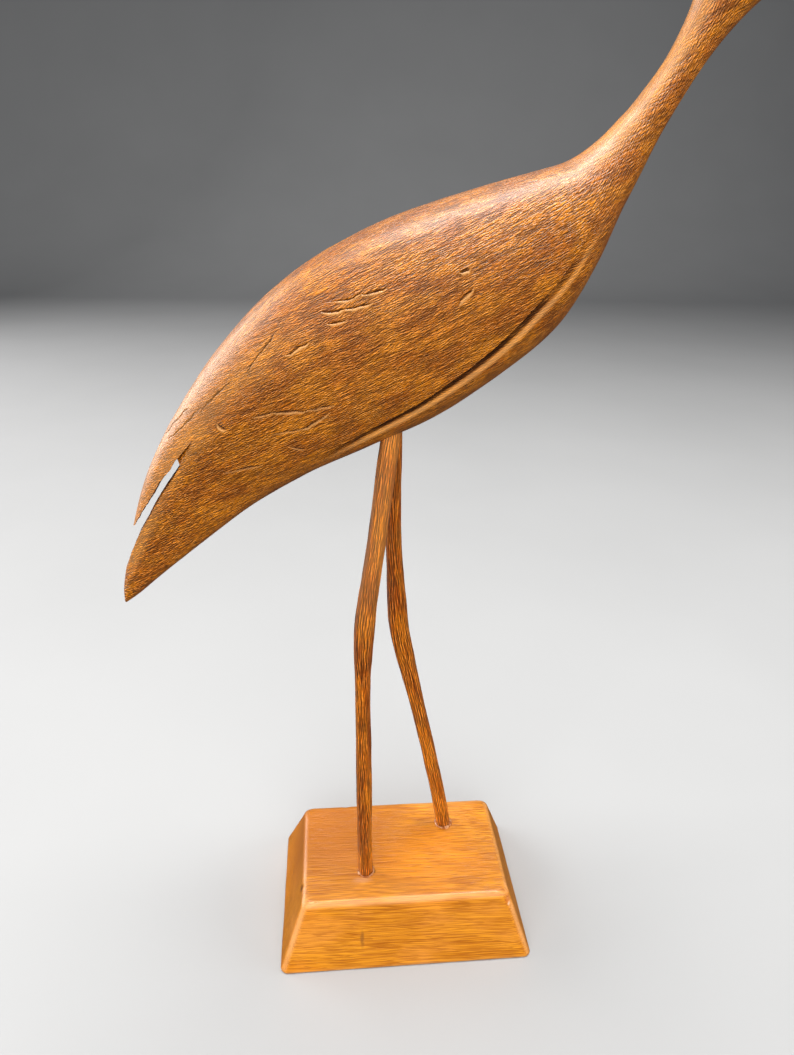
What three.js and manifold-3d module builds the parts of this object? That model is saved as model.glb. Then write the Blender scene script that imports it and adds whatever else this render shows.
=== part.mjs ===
// Wading bird carved in dark wood, standing on two bent legs in a block base.
// Millimetres. +X is the way the bird faces, +Z is up, and the origin is the middle of the base's underside.
import * as THREE from 'three';
import { mergeVertices } from 'three/addons/utils/BufferGeometryUtils.js';
import Module from 'manifold-3d';

const wasm = await Module();
wasm.setup();

// Base block: footprint, height, and how far each side leans in at the top.
const BASE_LENGTH = 88;
const BASE_DEPTH = 59.5;
const BASE_HEIGHT = 23.3;
const BASE_LEAN = 8.3;
const BASE_EDGE_RADIUS = 2.6;
const BASE_CORNER_RADIUS = 2.6;
const BASE_FOOT_EASE = 0.6;
const BASE_EDGE_STEPS = 4;
const BASE_CORNER_TURNS = [0, 22.5, 45, 67.5, 90];

// Air left round each piece that is let into another, how deep a foot goes in, how much deeper a hip goes, and how
// far the straight cutter of a socket runs from its bottom.
const FIT_GAP = 0.3;
const SOCKET_DEPTH = 5;
const HIP_EXTRA = 1;
const SOCKET_RUN = 12;

// Sections of the bird from tail tip to beak tip. Each row joins one point of the upper outline to one of the
// lower outline, both in the plane that splits the bird, and gives the half thickness across it and how square
// the section is (2 is an ellipse, more is fuller).
//   upper x, upper z, lower x, lower z, half thickness, squareness
const SECTIONS = [
  [-84.5, 133.0, -84.0, 132.0, 0.8, 2.0],
  [-84.2, 137.0, -79.5, 135.3, 1.8, 2.0],
  [-82.7, 143.5, -72.5, 141.3, 2.9, 2.0],
  [-79.0, 156.5, -60.0, 151.5, 4.4, 2.1],
  [-72.5, 174.0, -44.7, 163.4, 7.0, 2.2],
  [-63.0, 190.5, -28.4, 173.2, 11.4, 2.3],
  [-50.0, 208.0, -11.2, 181.5, 15.6, 2.4],
  [-33.0, 224.0, 7.5, 190.7, 17.9, 2.4],
  [-14.0, 235.0, 23.8, 202.1, 18.4, 2.4],
  [3.0, 241.5, 34.6, 211.9, 17.2, 2.3],
  [16.0, 245.5, 40.8, 221.2, 14.8, 2.3],
  [27.0, 248.5, 45.1, 230.3, 12.0, 2.2],
  [35.0, 251.0, 48.5, 239.3, 9.2, 2.1],
  [41.5, 255.5, 51.6, 246.1, 7.2, 2.0],
  [46.0, 260.0, 54.4, 252.8, 6.0, 2.0],
  [49.5, 264.0, 57.0, 258.7, 5.2, 2.0],
  [55.0, 272.0, 62.1, 268.1, 4.5, 2.0],
  [58.5, 280.0, 66.8, 275.3, 4.6, 2.0],
  [60.5, 287.5, 72.3, 281.6, 5.4, 2.0],
  [63.5, 295.5, 78.5, 286.8, 6.6, 2.0],
  [71.0, 302.3, 83.5, 289.0, 7.2, 2.0],
  [80.5, 302.6, 87.5, 290.0, 6.4, 2.0],
  [89.0, 298.8, 92.5, 290.8, 4.6, 2.0],
  [100.0, 297.1, 101.5, 292.0, 3.0, 2.0],
  [113.0, 296.6, 113.5, 293.8, 1.8, 2.0],
  [124.5, 296.3, 124.6, 295.3, 0.5, 2.0],
];
const RING_STEPS_PER_ROW = 3.6;

// Carved line under the wing: section number and angle round the section, in degrees below the middle of the side.
const WING_LINE = [
  [0, -46],
  [5, -41],
  [6, -39],
  [7, -37],
  [8, -32.5],
  [9, -26],
  [10, -23],
  [11, -16],
  [12.4, 2],
  [25, 6],
];
// The line runs between two section numbers and fades in and out over a few sections. Its upper wall is steep and
// narrow, and the wood below is pared in a long slope down to it. A thin section limits how far round the cut goes.
const WING_LINE_START = 5.1;
const WING_LINE_END = 12.3;
const WING_LINE_FADE_IN = 1.2;
const WING_LINE_FADE_OUT = 4.2;
const WING_LINE_WALL = 0.35;
const WING_LINE_SLOPE = 3.0;
const WING_LINE_DEPTH = 1.35;
const WIDEST_TURN = 14;
const PROBE_TURN = 2;
const POINTS_BELOW_LINE = 6;
const POINTS_ABOVE_LINE = 12;

// Slit between wing tip and tail, cut right through and opening rearward. x, z in the middle plane, with how much
// that edge rolls outward towards the two faces.
const SLIT_WING_SIDE = [
  [-92, 152, 1.0],
  [-79.6, 156.4, 1.0],
  [-78.1, 157.6, 1.0],
  [-75.0, 162.3, 0.8],
  [-72.1, 166.3, 0.6],
  [-68.8, 171.6, 0.3],
  [-66.0, 175.4, 0],
  [-64.0, 178.1, 0],
];
const SLIT_TAIL_SIDE = [
  [-63.1, 177.5, 0],
  [-63.0, 176.2, 0],
  [-65.3, 173.2, 0.2],
  [-68.2, 169.4, 0.5],
  [-71.5, 164.7, 0.9],
  [-74.2, 160.0, 1.0],
  [-76.8, 155.9, 1.0],
  [-80.2, 149.0, 1.0],
  [-84.0, 140.5, 0.6],
  [-90, 139, 0.6],
];
// Depths at which the slit's outline is laid, how fast each edge rolls away with the square of the depth, and the
// direction across the slit in x and z.
const SLIT_LAYERS = [-12, -6, -3, 0, 3, 6, 12];
const SLIT_ROLL_WING = 1 / 34;
const SLIT_ROLL_TAIL = 1 / 18;
const SLIT_ACROSS = [0.82, -0.57];

// Blind crack that carries the slit on, on the near face only.
const CRACK = [
  [-64.8, 176.9],
  [-63.2, 176.6],
  [-62.4, 177.7],
  [-61.2, 180.1],
  [-60.0, 181.8],
  [-58.5, 184.2],
  [-60.4, 182.3],
  [-62.6, 180.1],
];
const CRACK_FLOOR = -4.6;
const CRACK_MOUTH = -14;

// Legs: x, y, z and width at each bend, from foot to hip.
const NEAR_LEG = [
  [-13.6, -9.1, 23.3, 5.0],
  [-14.0, -8.8, 37.8, 5.0],
  [-14.2, -8.2, 59.7, 5.2],
  [-14.4, -7.7, 79.7, 5.0],
  [-14.7, -7.1, 102.6, 4.9],
  [-14.5, -6.7, 116.0, 5.8],
  [-14.0, -6.5, 125.5, 6.4],
  [-13.1, -6.3, 134.5, 5.8],
  [-10.8, -5.8, 151.9, 5.3],
  [-8.9, -5.4, 168.4, 5.5],
  [-7.1, -5.1, 184.0, 5.3],
];
const FAR_LEG = [
  [17.0, 10.7, 23.3, 5.4],
  [14.3, 10.2, 39.1, 5.6],
  [9.3, 9.3, 63.0, 5.3],
  [4.3, 8.5, 85.3, 5.5],
  [-0.3, 7.8, 105.1, 6.6],
  [-2.3, 7.4, 116.0, 6.8],
  [-3.3, 7.1, 126.2, 6.4],
  [-4.6, 6.4, 145.7, 5.1],
  [-5.1, 5.7, 163.7, 4.8],
  [-5.2, 5.3, 184.0, 4.6],
];
// Whittled section: angle of each corner in degrees and its reach, as a share of half the width.
const LEG_CORNERS = [
  [12, 1.0],
  [62, 0.96],
  [118, 1.0],
  [168, 1.03],
  [205, 0.98],
  [243, 0.96],
  [297, 0.98],
  [336, 1.02],
];
const LEG_STEPS_PER_BEND = 2;

// Colours and roughness of the dark wood, the legs and the base.
const BIRD_LOOK = [0x8a5227, 0.5];
const LEG_LOOK = [0x8f5228, 0.55];
const BASE_LOOK = [0xc27a35, 0.38];
// Points closer than this are one point.
const SAME_POINT = 1e-4;

// Smooth curve through rows of numbers, read at a row number that need not be whole.
function alongRows(rows, at) {
  const last = rows.length - 1;
  const i = Math.min(Math.max(Math.floor(at), 0), last - 1);
  const w = at - i;
  const before = rows[Math.max(i - 1, 0)];
  const here = rows[i];
  const next = rows[i + 1];
  const after = rows[Math.min(i + 2, last)];
  return here.map((value, k) => {
    const leave = (next[k] - before[k]) / 2;
    const arrive = (after[k] - value) / 2;
    const cubic = (2 * value - 2 * next[k] + leave + arrive) * w ** 3;
    const square = (3 * next[k] - 3 * value - 2 * leave - arrive) * w ** 2;
    return cubic + square + leave * w + value;
  });
}

// Straight-line reading of a two-column table.
function readTable(table, at) {
  for (let i = 0; i < table.length - 1; i += 1) {
    const [x0, y0] = table[i];
    const [x1, y1] = table[i + 1];
    if (at <= x1) return y0 + ((y1 - y0) * (at - x0)) / (x1 - x0);
  }
  return table[table.length - 1][1];
}

// Closed skin over a stack of rings with equal point counts, with a point in the middle of each end.
function skin(rings) {
  const count = rings[0].length;
  const positions = [];
  const faces = [];
  for (const ring of rings) {
    for (const p of ring) positions.push(p[0], p[1], p[2]);
  }
  for (let i = 0; i < rings.length - 1; i += 1) {
    for (let j = 0; j < count; j += 1) {
      const a = i * count + j;
      const b = i * count + ((j + 1) % count);
      faces.push(a, b, b + count, a, b + count, a + count);
    }
  }
  const middle = (ring) => [0, 1, 2].map((k) => ring.reduce((sum, p) => sum + p[k], 0) / count);
  const first = positions.length / 3;
  positions.push(...middle(rings[0]), ...middle(rings[rings.length - 1]));
  const topStart = (rings.length - 1) * count;
  for (let j = 0; j < count; j += 1) {
    const k = (j + 1) % count;
    faces.push(first, k, j);
    faces.push(first + 1, topStart + j, topStart + k);
  }
  const geometry = new THREE.BufferGeometry();
  geometry.setAttribute('position', new THREE.Float32BufferAttribute(positions, 3));
  geometry.setIndex(faces);
  return geometry;
}

// Solid for cutting, turned the right way out whichever way its rings ran.
function solid(geometry) {
  const merged = mergeVertices(geometry, SAME_POINT);
  const vertProperties = new Float32Array(merged.attributes.position.array);
  const triVerts = new Uint32Array(merged.index.array);
  let volume = 0;
  const corner = (n) => new THREE.Vector3().fromArray(vertProperties, 3 * n);
  for (let i = 0; i < triVerts.length; i += 3) {
    volume += corner(triVerts[i]).dot(corner(triVerts[i + 1]).cross(corner(triVerts[i + 2])));
  }
  if (volume < 0) triVerts.reverse();
  return new wasm.Manifold(new wasm.Mesh({ numProp: 3, vertProperties, triVerts }));
}

function toMesh(body, name, [colour, roughness]) {
  const cut = body.getMesh();
  const geometry = new THREE.BufferGeometry();
  geometry.setAttribute('position', new THREE.Float32BufferAttribute(cut.vertProperties, 3));
  geometry.setIndex([...cut.triVerts]);
  geometry.computeVertexNormals();
  const material = new THREE.MeshStandardMaterial({ color: colour, roughness, metalness: 0 });
  const mesh = new THREE.Mesh(geometry, material);
  mesh.name = name;
  return mesh;
}

// Point on the bird's skin at a section number and an angle: -90 is the lower outline, 90 the upper one.
function skinPoint(at, degrees) {
  const [ux, uz, lx, lz, half, square] = alongRows(SECTIONS, at);
  const s = Math.sin(THREE.MathUtils.degToRad(degrees));
  const c = Math.cos(THREE.MathUtils.degToRad(degrees));
  const up = Math.sign(s) * Math.abs(s) ** (2 / square);
  const out = Math.abs(c) ** (2 / square);
  const x = (ux + lx) / 2 + (up * (ux - lx)) / 2;
  const z = (uz + lz) / 2 + (up * (uz - lz)) / 2;
  return new THREE.Vector3(x, -half * out, z);
}

function lineDepth(at) {
  const rise = THREE.MathUtils.smoothstep(at, WING_LINE_START, WING_LINE_START + WING_LINE_FADE_IN);
  const fall = 1 - THREE.MathUtils.smoothstep(at, WING_LINE_END - WING_LINE_FADE_OUT, WING_LINE_END);
  return WING_LINE_DEPTH * rise * fall;
}

// One side of a section, from the lower to the upper outline, with the carved line among its points.
function halfRing(at) {
  const line = readTable(WING_LINE, at);
  const probe = skinPoint(at, line + PROBE_TURN).distanceTo(skinPoint(at, line - PROBE_TURN));
  const millimetresPerDegree = probe / (2 * PROBE_TURN);
  const slope = Math.min(WING_LINE_SLOPE / millimetresPerDegree, WIDEST_TURN);
  const wall = Math.min(WING_LINE_WALL / millimetresPerDegree, WIDEST_TURN);
  const points = [];
  for (let i = 0; i < POINTS_BELOW_LINE; i += 1) {
    points.push(skinPoint(at, -90 + ((line - slope + 90) * i) / POINTS_BELOW_LINE));
  }
  const lower = skinPoint(at, line - slope);
  const upper = skinPoint(at, line + wall);
  const [ux, uz, lx, lz] = alongRows(SECTIONS, at);
  const middle = new THREE.Vector3((ux + lx) / 2, 0, (uz + lz) / 2);
  const bottom = skinPoint(at, line);
  const inward = middle.sub(bottom).normalize();
  bottom.addScaledVector(inward, lineDepth(at));
  points.push(lower, bottom, upper);
  for (let i = 1; i <= POINTS_ABOVE_LINE; i += 1) {
    points.push(skinPoint(at, line + wall + ((90 - line - wall) * i) / POINTS_ABOVE_LINE));
  }
  return points;
}

function birdSkin() {
  const rings = [];
  const steps = Math.round((SECTIONS.length - 1) * RING_STEPS_PER_ROW);
  for (let i = 0; i <= steps; i += 1) {
    const at = ((SECTIONS.length - 1) * i) / steps;
    const near = halfRing(at);
    const far = near.slice(1, -1).reverse();
    rings.push([...near.map((p) => [p.x, p.y, p.z]), ...far.map((p) => [p.x, -p.y, p.z])]);
  }
  return skin(rings);
}

// Wedge that cuts the slit: the same outline at several depths, wider towards the two faces.
function slitCutter() {
  const rings = SLIT_LAYERS.map((y) => {
    const wing = SLIT_WING_SIDE.map(([x, z, roll]) => {
      const away = -roll * y * y * SLIT_ROLL_WING;
      return [x + SLIT_ACROSS[0] * away, y, z + SLIT_ACROSS[1] * away];
    });
    const tail = SLIT_TAIL_SIDE.map(([x, z, roll]) => {
      const away = roll * y * y * SLIT_ROLL_TAIL;
      return [x + SLIT_ACROSS[0] * away, y, z + SLIT_ACROSS[1] * away];
    });
    return [...wing, ...tail];
  });
  return prism(rings);
}

// Rings of any outline, closed with flat ends cut into triangles.
function prism(rings) {
  const count = rings[0].length;
  const positions = rings.flat(2);
  const faces = [];
  for (let i = 0; i < rings.length - 1; i += 1) {
    for (let j = 0; j < count; j += 1) {
      const a = i * count + j;
      const b = i * count + ((j + 1) % count);
      faces.push(a, b, b + count, a, b + count, a + count);
    }
  }
  const flat = (ring) => ring.map((p) => new THREE.Vector2(p[0], p[2]));
  const lastStart = (rings.length - 1) * count;
  const firstCap = THREE.ShapeUtils.triangulateShape(flat(rings[0]), []);
  const lastCap = THREE.ShapeUtils.triangulateShape(flat(rings[rings.length - 1]), []);
  const outlineTurns = THREE.ShapeUtils.area(flat(rings[0])) > 0;
  for (const [a, b, c] of firstCap) {
    if (outlineTurns) faces.push(a, c, b);
    else faces.push(a, b, c);
  }
  for (const [a, b, c] of lastCap) {
    if (outlineTurns) faces.push(lastStart + a, lastStart + b, lastStart + c);
    else faces.push(lastStart + a, lastStart + c, lastStart + b);
  }
  const geometry = new THREE.BufferGeometry();
  geometry.setAttribute('position', new THREE.Float32BufferAttribute(positions, 3));
  geometry.setIndex(faces);
  return geometry;
}

// Whittled ring round a leg. Extra widens it on every side.
function legRing([x, y, z, width], extra) {
  return LEG_CORNERS.map(([degrees, reach]) => {
    const turn = THREE.MathUtils.degToRad(degrees);
    const r = (width / 2) * reach + extra;
    return [x + r * Math.cos(turn), y + r * Math.sin(turn), z];
  });
}

// The leg's line from the top of the base to the bird's underside.
function legLine(bends) {
  const steps = (bends.length - 1) * LEG_STEPS_PER_BEND;
  const line = [];
  for (let i = 0; i <= steps; i += 1) line.push(alongRows(bends, i / LEG_STEPS_PER_BEND));
  return line;
}

// The line from one point towards another, followed to a given rise. The width stays.
function carryOn(from, towards, rise) {
  const share = rise / (towards[2] - from[2]);
  const moved = from.map((value, k) => value + (towards[k] - value) * share);
  return [moved[0], moved[1], moved[2], from[3]];
}

// A leg's line with both ends carried on straight into their sockets.
function leg(bends) {
  const line = legLine(bends);
  const foot = carryOn(line[0], line[1], -SOCKET_DEPTH);
  const top = line[line.length - 1];
  const hip = carryOn(top, line[line.length - 2], SOCKET_DEPTH + HIP_EXTRA);
  return { line: [foot, ...line, hip], foot, hip };
}

// Cutter for a socket: the leg's ring with air round it and past both ends.
function legSocket(points) {
  const last = points.length - 1;
  const rings = points.map((p) => legRing(p, FIT_GAP));
  const start = points[0];
  const end = points[last];
  const startGrow = carryOn(start, points[1], Math.sign(start[2] - points[1][2]) * FIT_GAP);
  const endGrow = carryOn(end, points[last - 1], Math.sign(end[2] - points[last - 1][2]) * FIT_GAP);
  rings[0] = legRing(startGrow, FIT_GAP);
  rings[last] = legRing(endGrow, FIT_GAP);
  return solid(skin(rings));
}

// Rounded rectangle at one height of the base.
function baseRing(z, inset, radius) {
  const hx = BASE_LENGTH / 2 - inset - radius;
  const hy = BASE_DEPTH / 2 - inset - radius;
  const centres = [[hx, hy, 0], [-hx, hy, 90], [-hx, -hy, 180], [hx, -hy, 270]];
  const ring = [];
  for (const [cx, cy, start] of centres) {
    for (const step of BASE_CORNER_TURNS) {
      const turn = THREE.MathUtils.degToRad(start + step);
      ring.push([cx + radius * Math.cos(turn), cy + radius * Math.sin(turn), z]);
    }
  }
  return ring;
}

function baseBlock() {
  const slope = BASE_LEAN / BASE_HEIGHT;
  const lean = Math.atan(slope);
  const r = BASE_EDGE_RADIUS;
  const tangent = r * Math.tan((Math.PI / 2 - lean) / 2);
  const middleInset = BASE_LEAN + tangent;
  const footInset = BASE_FOOT_EASE * slope;
  const rings = [
    baseRing(0, BASE_FOOT_EASE, BASE_CORNER_RADIUS),
    baseRing(BASE_FOOT_EASE, footInset, BASE_CORNER_RADIUS),
  ];
  for (let i = 0; i <= BASE_EDGE_STEPS; i += 1) {
    const turn = lean + ((Math.PI / 2 - lean) * i) / BASE_EDGE_STEPS;
    const z = BASE_HEIGHT - r + r * Math.sin(turn);
    const inset = middleInset - r * Math.cos(turn);
    rings.push(baseRing(z, inset, BASE_CORNER_RADIUS + (r * i) / BASE_EDGE_STEPS));
  }
  return skin(rings);
}

function footSocket(parts) {
  return legSocket([parts.foot, carryOn(parts.foot, parts.line[1], SOCKET_RUN)]);
}

function hipSocket(parts) {
  return legSocket([carryOn(parts.hip, parts.line[parts.line.length - 2], -SOCKET_RUN), parts.hip]);
}

// Straight-sided cutter for the crack, from its floor in the wood out through the near face.
function crackCutter() {
  return prism([CRACK_MOUTH, CRACK_FLOOR].map((y) => CRACK.map(([x, z]) => [x, y, z])));
}

const nearLeg = leg(NEAR_LEG);
const farLeg = leg(FAR_LEG);

const bird = solid(birdSkin())
  .subtract(solid(slitCutter()))
  .subtract(solid(crackCutter()))
  .subtract(hipSocket(nearLeg))
  .subtract(hipSocket(farLeg));

const base = solid(baseBlock())
  .subtract(footSocket(nearLeg))
  .subtract(footSocket(farLeg));

const group = new THREE.Group();
group.add(toMesh(bird, 'bird', BIRD_LOOK));
group.add(toMesh(solid(skin(nearLeg.line.map((p) => legRing(p, 0)))), 'near_leg', LEG_LOOK));
group.add(toMesh(solid(skin(farLeg.line.map((p) => legRing(p, 0)))), 'far_leg', LEG_LOOK));
group.add(toMesh(base, 'base', BASE_LOOK));

export default group;
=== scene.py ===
# %% [markdown]
# # A wading bird carved in dark wood
#
# The object is a shop-made carving about a foot tall: a slender wading bird, carved in one piece from tail to beak, on
# two whittled legs that are let into a small block with sloping sides. This lesson builds it in the order in which a
# carver would work: the block of the body, the cuts in it, the legs, the base, then the finish and the light.
#
# The imported solids come in first. They fix where each piece is and how big it may be, so the box of the carving
# made here is printed beside theirs at the end.

# %% Load the fixed frame
import math

import bmesh
import bpy
import numpy as np
from mathutils import Matrix, Vector, kdtree, noise
from mathutils.bvhtree import BVHTree


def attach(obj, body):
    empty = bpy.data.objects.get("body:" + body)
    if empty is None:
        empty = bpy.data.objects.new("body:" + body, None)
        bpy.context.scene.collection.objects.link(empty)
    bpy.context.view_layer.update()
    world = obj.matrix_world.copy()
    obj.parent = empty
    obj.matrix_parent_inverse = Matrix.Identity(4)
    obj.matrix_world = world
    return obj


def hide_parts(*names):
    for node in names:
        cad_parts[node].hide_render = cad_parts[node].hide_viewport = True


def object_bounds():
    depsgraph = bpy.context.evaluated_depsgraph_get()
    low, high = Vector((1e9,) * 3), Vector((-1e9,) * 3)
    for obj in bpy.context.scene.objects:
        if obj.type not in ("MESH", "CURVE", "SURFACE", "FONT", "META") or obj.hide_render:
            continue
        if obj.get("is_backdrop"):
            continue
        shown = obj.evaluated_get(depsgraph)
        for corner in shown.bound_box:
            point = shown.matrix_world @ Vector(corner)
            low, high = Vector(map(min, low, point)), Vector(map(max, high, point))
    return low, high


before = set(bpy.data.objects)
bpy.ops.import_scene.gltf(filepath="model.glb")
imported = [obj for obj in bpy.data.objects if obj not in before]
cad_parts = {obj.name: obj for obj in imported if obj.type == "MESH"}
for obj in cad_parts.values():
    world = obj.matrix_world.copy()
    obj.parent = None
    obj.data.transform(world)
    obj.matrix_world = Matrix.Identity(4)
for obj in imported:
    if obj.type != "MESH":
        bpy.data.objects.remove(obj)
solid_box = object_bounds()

MM = 0.001
print("solid box", [[round(v, 4) for v in corner] for corner in solid_box])

# %% [markdown]
# ## The camera
#
# The picture was taken from a little above the base and close by, with the wide lens of a telephone, so the base opens
# towards us and its far edge is short. The four lower corners of the base give the place of the lens: from there, lines
# to the corners of a block with these proportions meet the picture where the corners are seen. A camera is set by a
# place and three directions, so its matrix is written out from them, because aiming it at a point would lose the
# slight roll.

# %% Place the camera
LENS_PLACE = Vector((-0.0227, -0.1891, 0.2445))
LOOKS = Vector((0.0871, 0.8997, -0.4277)).normalized()
RIGHT = Vector((0.9960, -0.0866, 0.0208))
RIGHT = (RIGHT - RIGHT.dot(LOOKS) * LOOKS).normalized()
UP = RIGHT.cross(LOOKS)

camera_data = bpy.data.cameras.new("close_view")
camera_data.sensor_fit = "VERTICAL"
camera_data.sensor_height = 36.0
camera_data.lens = 36.0 * 720 / 1055
camera_data.clip_start = 0.01
camera_data.clip_end = 20.0
camera = bpy.data.objects.new("close_view", camera_data)
bpy.context.scene.collection.objects.link(camera)
facing = Matrix((RIGHT, UP, -LOOKS)).transposed().to_4x4()
camera.matrix_world = Matrix.Translation(LENS_PLACE) @ facing
bpy.context.scene.camera = camera
print("lens", round(camera_data.lens, 1), "mm, looking down", round(math.degrees(math.asin(-LOOKS.z)), 1), "degrees")

# %% [markdown]
# ## Reading a shape from a few given sections
#
# A carver draws the side view on the blank, saws it out, and then takes the corners off until the sections are round.
# The bird is made the same way. A short table gives an upper and a lower point of the side view, how thick the wood
# is there, and how full the section is. A smooth curve through the rows gives every section in between.

# %% Smooth curve through table rows
def along_rows(rows, at):
    """Rows read at row numbers that need not be whole, on a curve that passes through every row."""
    rows = np.asarray(rows, float)
    at = np.asarray(at, float)
    last = len(rows) - 1
    i = np.clip(np.floor(at).astype(int), 0, last - 1)
    w = (at - i)[..., None]
    before, here = rows[np.maximum(i - 1, 0)], rows[i]
    after, beyond = rows[i + 1], rows[np.minimum(i + 2, last)]
    leave, arrive = (after - before) / 2, (beyond - here) / 2
    cubic = (2 * here - 2 * after + leave + arrive) * w**3
    square = (3 * after - 3 * here - 2 * leave - arrive) * w**2
    return cubic + square + leave * w + here


# %% The sections of the bird, in millimetres
# upper x, upper z, lower x, lower z, half thickness, squareness (2 is an ellipse)
SECTIONS = [
    (-84.5, 133.0, -84.0, 132.0, 0.8, 2.0),
    (-84.2, 137.0, -79.5, 135.3, 1.8, 2.0),
    (-82.7, 143.5, -72.5, 141.3, 2.9, 2.0),
    (-79.0, 156.5, -60.0, 151.5, 4.4, 2.1),
    (-72.5, 174.0, -44.7, 163.4, 7.0, 2.2),
    (-63.0, 190.5, -28.4, 173.2, 11.4, 2.3),
    (-50.0, 208.0, -11.2, 181.5, 15.6, 2.4),
    (-33.0, 224.0, 7.5, 190.7, 17.9, 2.4),
    (-14.0, 235.0, 23.8, 202.1, 18.4, 2.4),
    (3.0, 241.5, 34.6, 211.9, 17.2, 2.3),
    (16.0, 245.5, 40.8, 221.2, 14.8, 2.3),
    (27.0, 248.5, 45.1, 230.3, 12.0, 2.2),
    (35.0, 251.0, 48.5, 239.3, 9.2, 2.1),
    (41.5, 255.5, 51.6, 246.1, 7.2, 2.0),
    (46.0, 260.0, 54.4, 252.8, 6.0, 2.0),
    (49.5, 264.0, 57.0, 258.7, 5.2, 2.0),
    (55.0, 272.0, 62.1, 268.1, 4.5, 2.0),
    (58.5, 280.0, 66.8, 275.3, 4.6, 2.0),
    (60.5, 287.5, 72.3, 281.6, 5.4, 2.0),
    (63.5, 295.5, 78.5, 286.8, 6.6, 2.0),
    (71.0, 302.3, 83.5, 289.0, 7.2, 2.0),
    (80.5, 302.6, 87.5, 290.0, 6.4, 2.0),
    (89.0, 298.8, 92.5, 290.8, 4.6, 2.0),
    (100.0, 297.1, 101.5, 292.0, 3.0, 2.0),
    (113.0, 296.6, 113.5, 293.8, 1.8, 2.0),
    (124.5, 296.3, 124.6, 295.3, 0.5, 2.0),
]
LAST_SECTION = len(SECTIONS) - 1


def skin_point(at, degrees):
    """Points on the skin. -90 degrees is the lower outline, 0 the middle of the side, 90 the upper outline."""
    rows = along_rows(SECTIONS, at)
    ux, uz, lx, lz, half, square = [rows[..., k] for k in range(6)]
    turn = np.radians(degrees)
    up = np.sign(np.sin(turn)) * np.abs(np.sin(turn)) ** (2 / square)
    out = np.abs(np.cos(turn)) ** (2 / square)
    x = (ux + lx) / 2 + up * (ux - lx) / 2
    z = (uz + lz) / 2 + up * (uz - lz) / 2
    return np.stack([x, -half * out, z], axis=-1)


# %% [markdown]
# ## Where the points go
#
# A finely carved line needs points that follow it, or its edge turns into a staircase. So every section keeps a band
# of points at fixed distances from the wing line, close together in the cut and wider apart elsewhere. Sections are
# placed by distance along the bird, and closer together on the small head and beak.

# %% Wing line and ring angles
WING_LINE = [(0, -46), (5, -41), (6, -39), (7, -37), (8, -32.5), (9, -26), (10, -23), (11, -16), (12.4, 2), (25, 6)]
LINE_STARTS, LINE_ENDS = 5.1, 12.3
CUT_BAND = np.array(
    [-3.9, -3.45, -3.15, -3.0, -2.8, -2.5, -2.2, -2.0, -1.8, -1.55, -1.3, -1.05, -0.8, -0.55, -0.3, -0.1, 0.05, 0.14,
     0.24, 0.35, 0.55, 1.0]
)
CUT_DEPTH = 1.35
ANGLES_BELOW, ANGLES_ABOVE = 23, 55


def wing_line_angle(at):
    at_rows, angles = zip(*WING_LINE)
    return np.interp(at, at_rows, angles)


def stations(step, head_step):
    fine = np.linspace(0, LAST_SECTION, 4001)
    rows = along_rows(SECTIONS, fine)
    moves = np.diff(rows[:, :4], axis=0)
    upper, lower = np.hypot(moves[:, 0], moves[:, 1]), np.hypot(moves[:, 2], moves[:, 3])
    wanted = np.interp(fine[1:], [0, 2, 16, 19, 25], [head_step, step, step, head_step, head_step])
    gone = np.concatenate([[0], np.cumsum(np.maximum(upper, lower) / wanted)])
    count = int(gone[-1])
    return np.interp(np.linspace(0, gone[-1], count + 1), gone, fine)


def half_ring_angles(at):
    line = wing_line_angle(at)
    ahead, behind = skin_point(at, line + 1.5), skin_point(at, line - 1.5)
    mm_per_degree = np.linalg.norm(ahead - behind, axis=-1) / 3
    narrowed = np.minimum(1, 32 * mm_per_degree / 3.4)
    band = line[:, None] + CUT_BAND[None] * (narrowed / mm_per_degree)[:, None]
    below = band[:, :1] + (-90 - band[:, :1]) * np.linspace(1, 0, ANGLES_BELOW + 1)[None, :-1]
    above = band[:, -1:] + (90 - band[:, -1:]) * np.linspace(0, 1, ANGLES_ABOVE + 1)[None, 1:]
    return np.concatenate([below, band, above], axis=1)


at_rows = stations(0.98, 0.66)
half_angles = half_ring_angles(at_rows)
print(len(at_rows), "sections of", 2 * half_angles.shape[1] - 2, "points")

# %% [markdown]
# ## Carving the wing line
#
# The wing is set off from the breast by one long cut. The knife goes in steeply under the wing, and the wood below is
# pared in a long slope down to it. The camera looks down past the wing's edge, so it sees the slope alone. Where it is
# deep it is painted dark, for old oil and as painted shade; where it comes up to the light its lip carries a painted
# highlight, a pale golden tint. The cut is pressed into the sections along the skin's own normal. It runs out on the
# belly and is faint at the neck.

# %% Grid of the body, with the cut pressed in
def smoothstep(value, low, high):
    share = np.clip((value - low) / (high - low), 0, 1)
    return share * share * (3 - 2 * share)


def line_depth(at):
    fade_in = smoothstep(at, LINE_STARTS, LINE_STARTS + 1.2)
    fade_out = 1 - smoothstep(at, LINE_ENDS - 4.2, LINE_ENDS)
    return CUT_DEPTH * fade_in * fade_out


def cut_profile(offset):
    """Share of the full depth at a distance above (+) or below (-) the line, in millimetres."""
    wall = 1 - smoothstep(offset, 0.05, 0.35)
    slope = np.clip((3.0 + offset) / 2.9, 0, 1)
    return np.where(offset > 0, wall, slope)


def line_oil_and_shade(offset):
    """Share of the dark painted in the cut: old oil and dust, and painted shade where the cut is deep."""
    return (1 - smoothstep(offset, 0.1, 0.4)) * (1 - smoothstep(-offset, 1.45, 2.0))


def lip_highlight(offset):
    """Share of the painted highlight, a pale golden tint, at the outer edge of the slope."""
    return smoothstep(-offset, 1.7, 2.2) * (1 - smoothstep(-offset, 3.0, 3.8))


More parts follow.
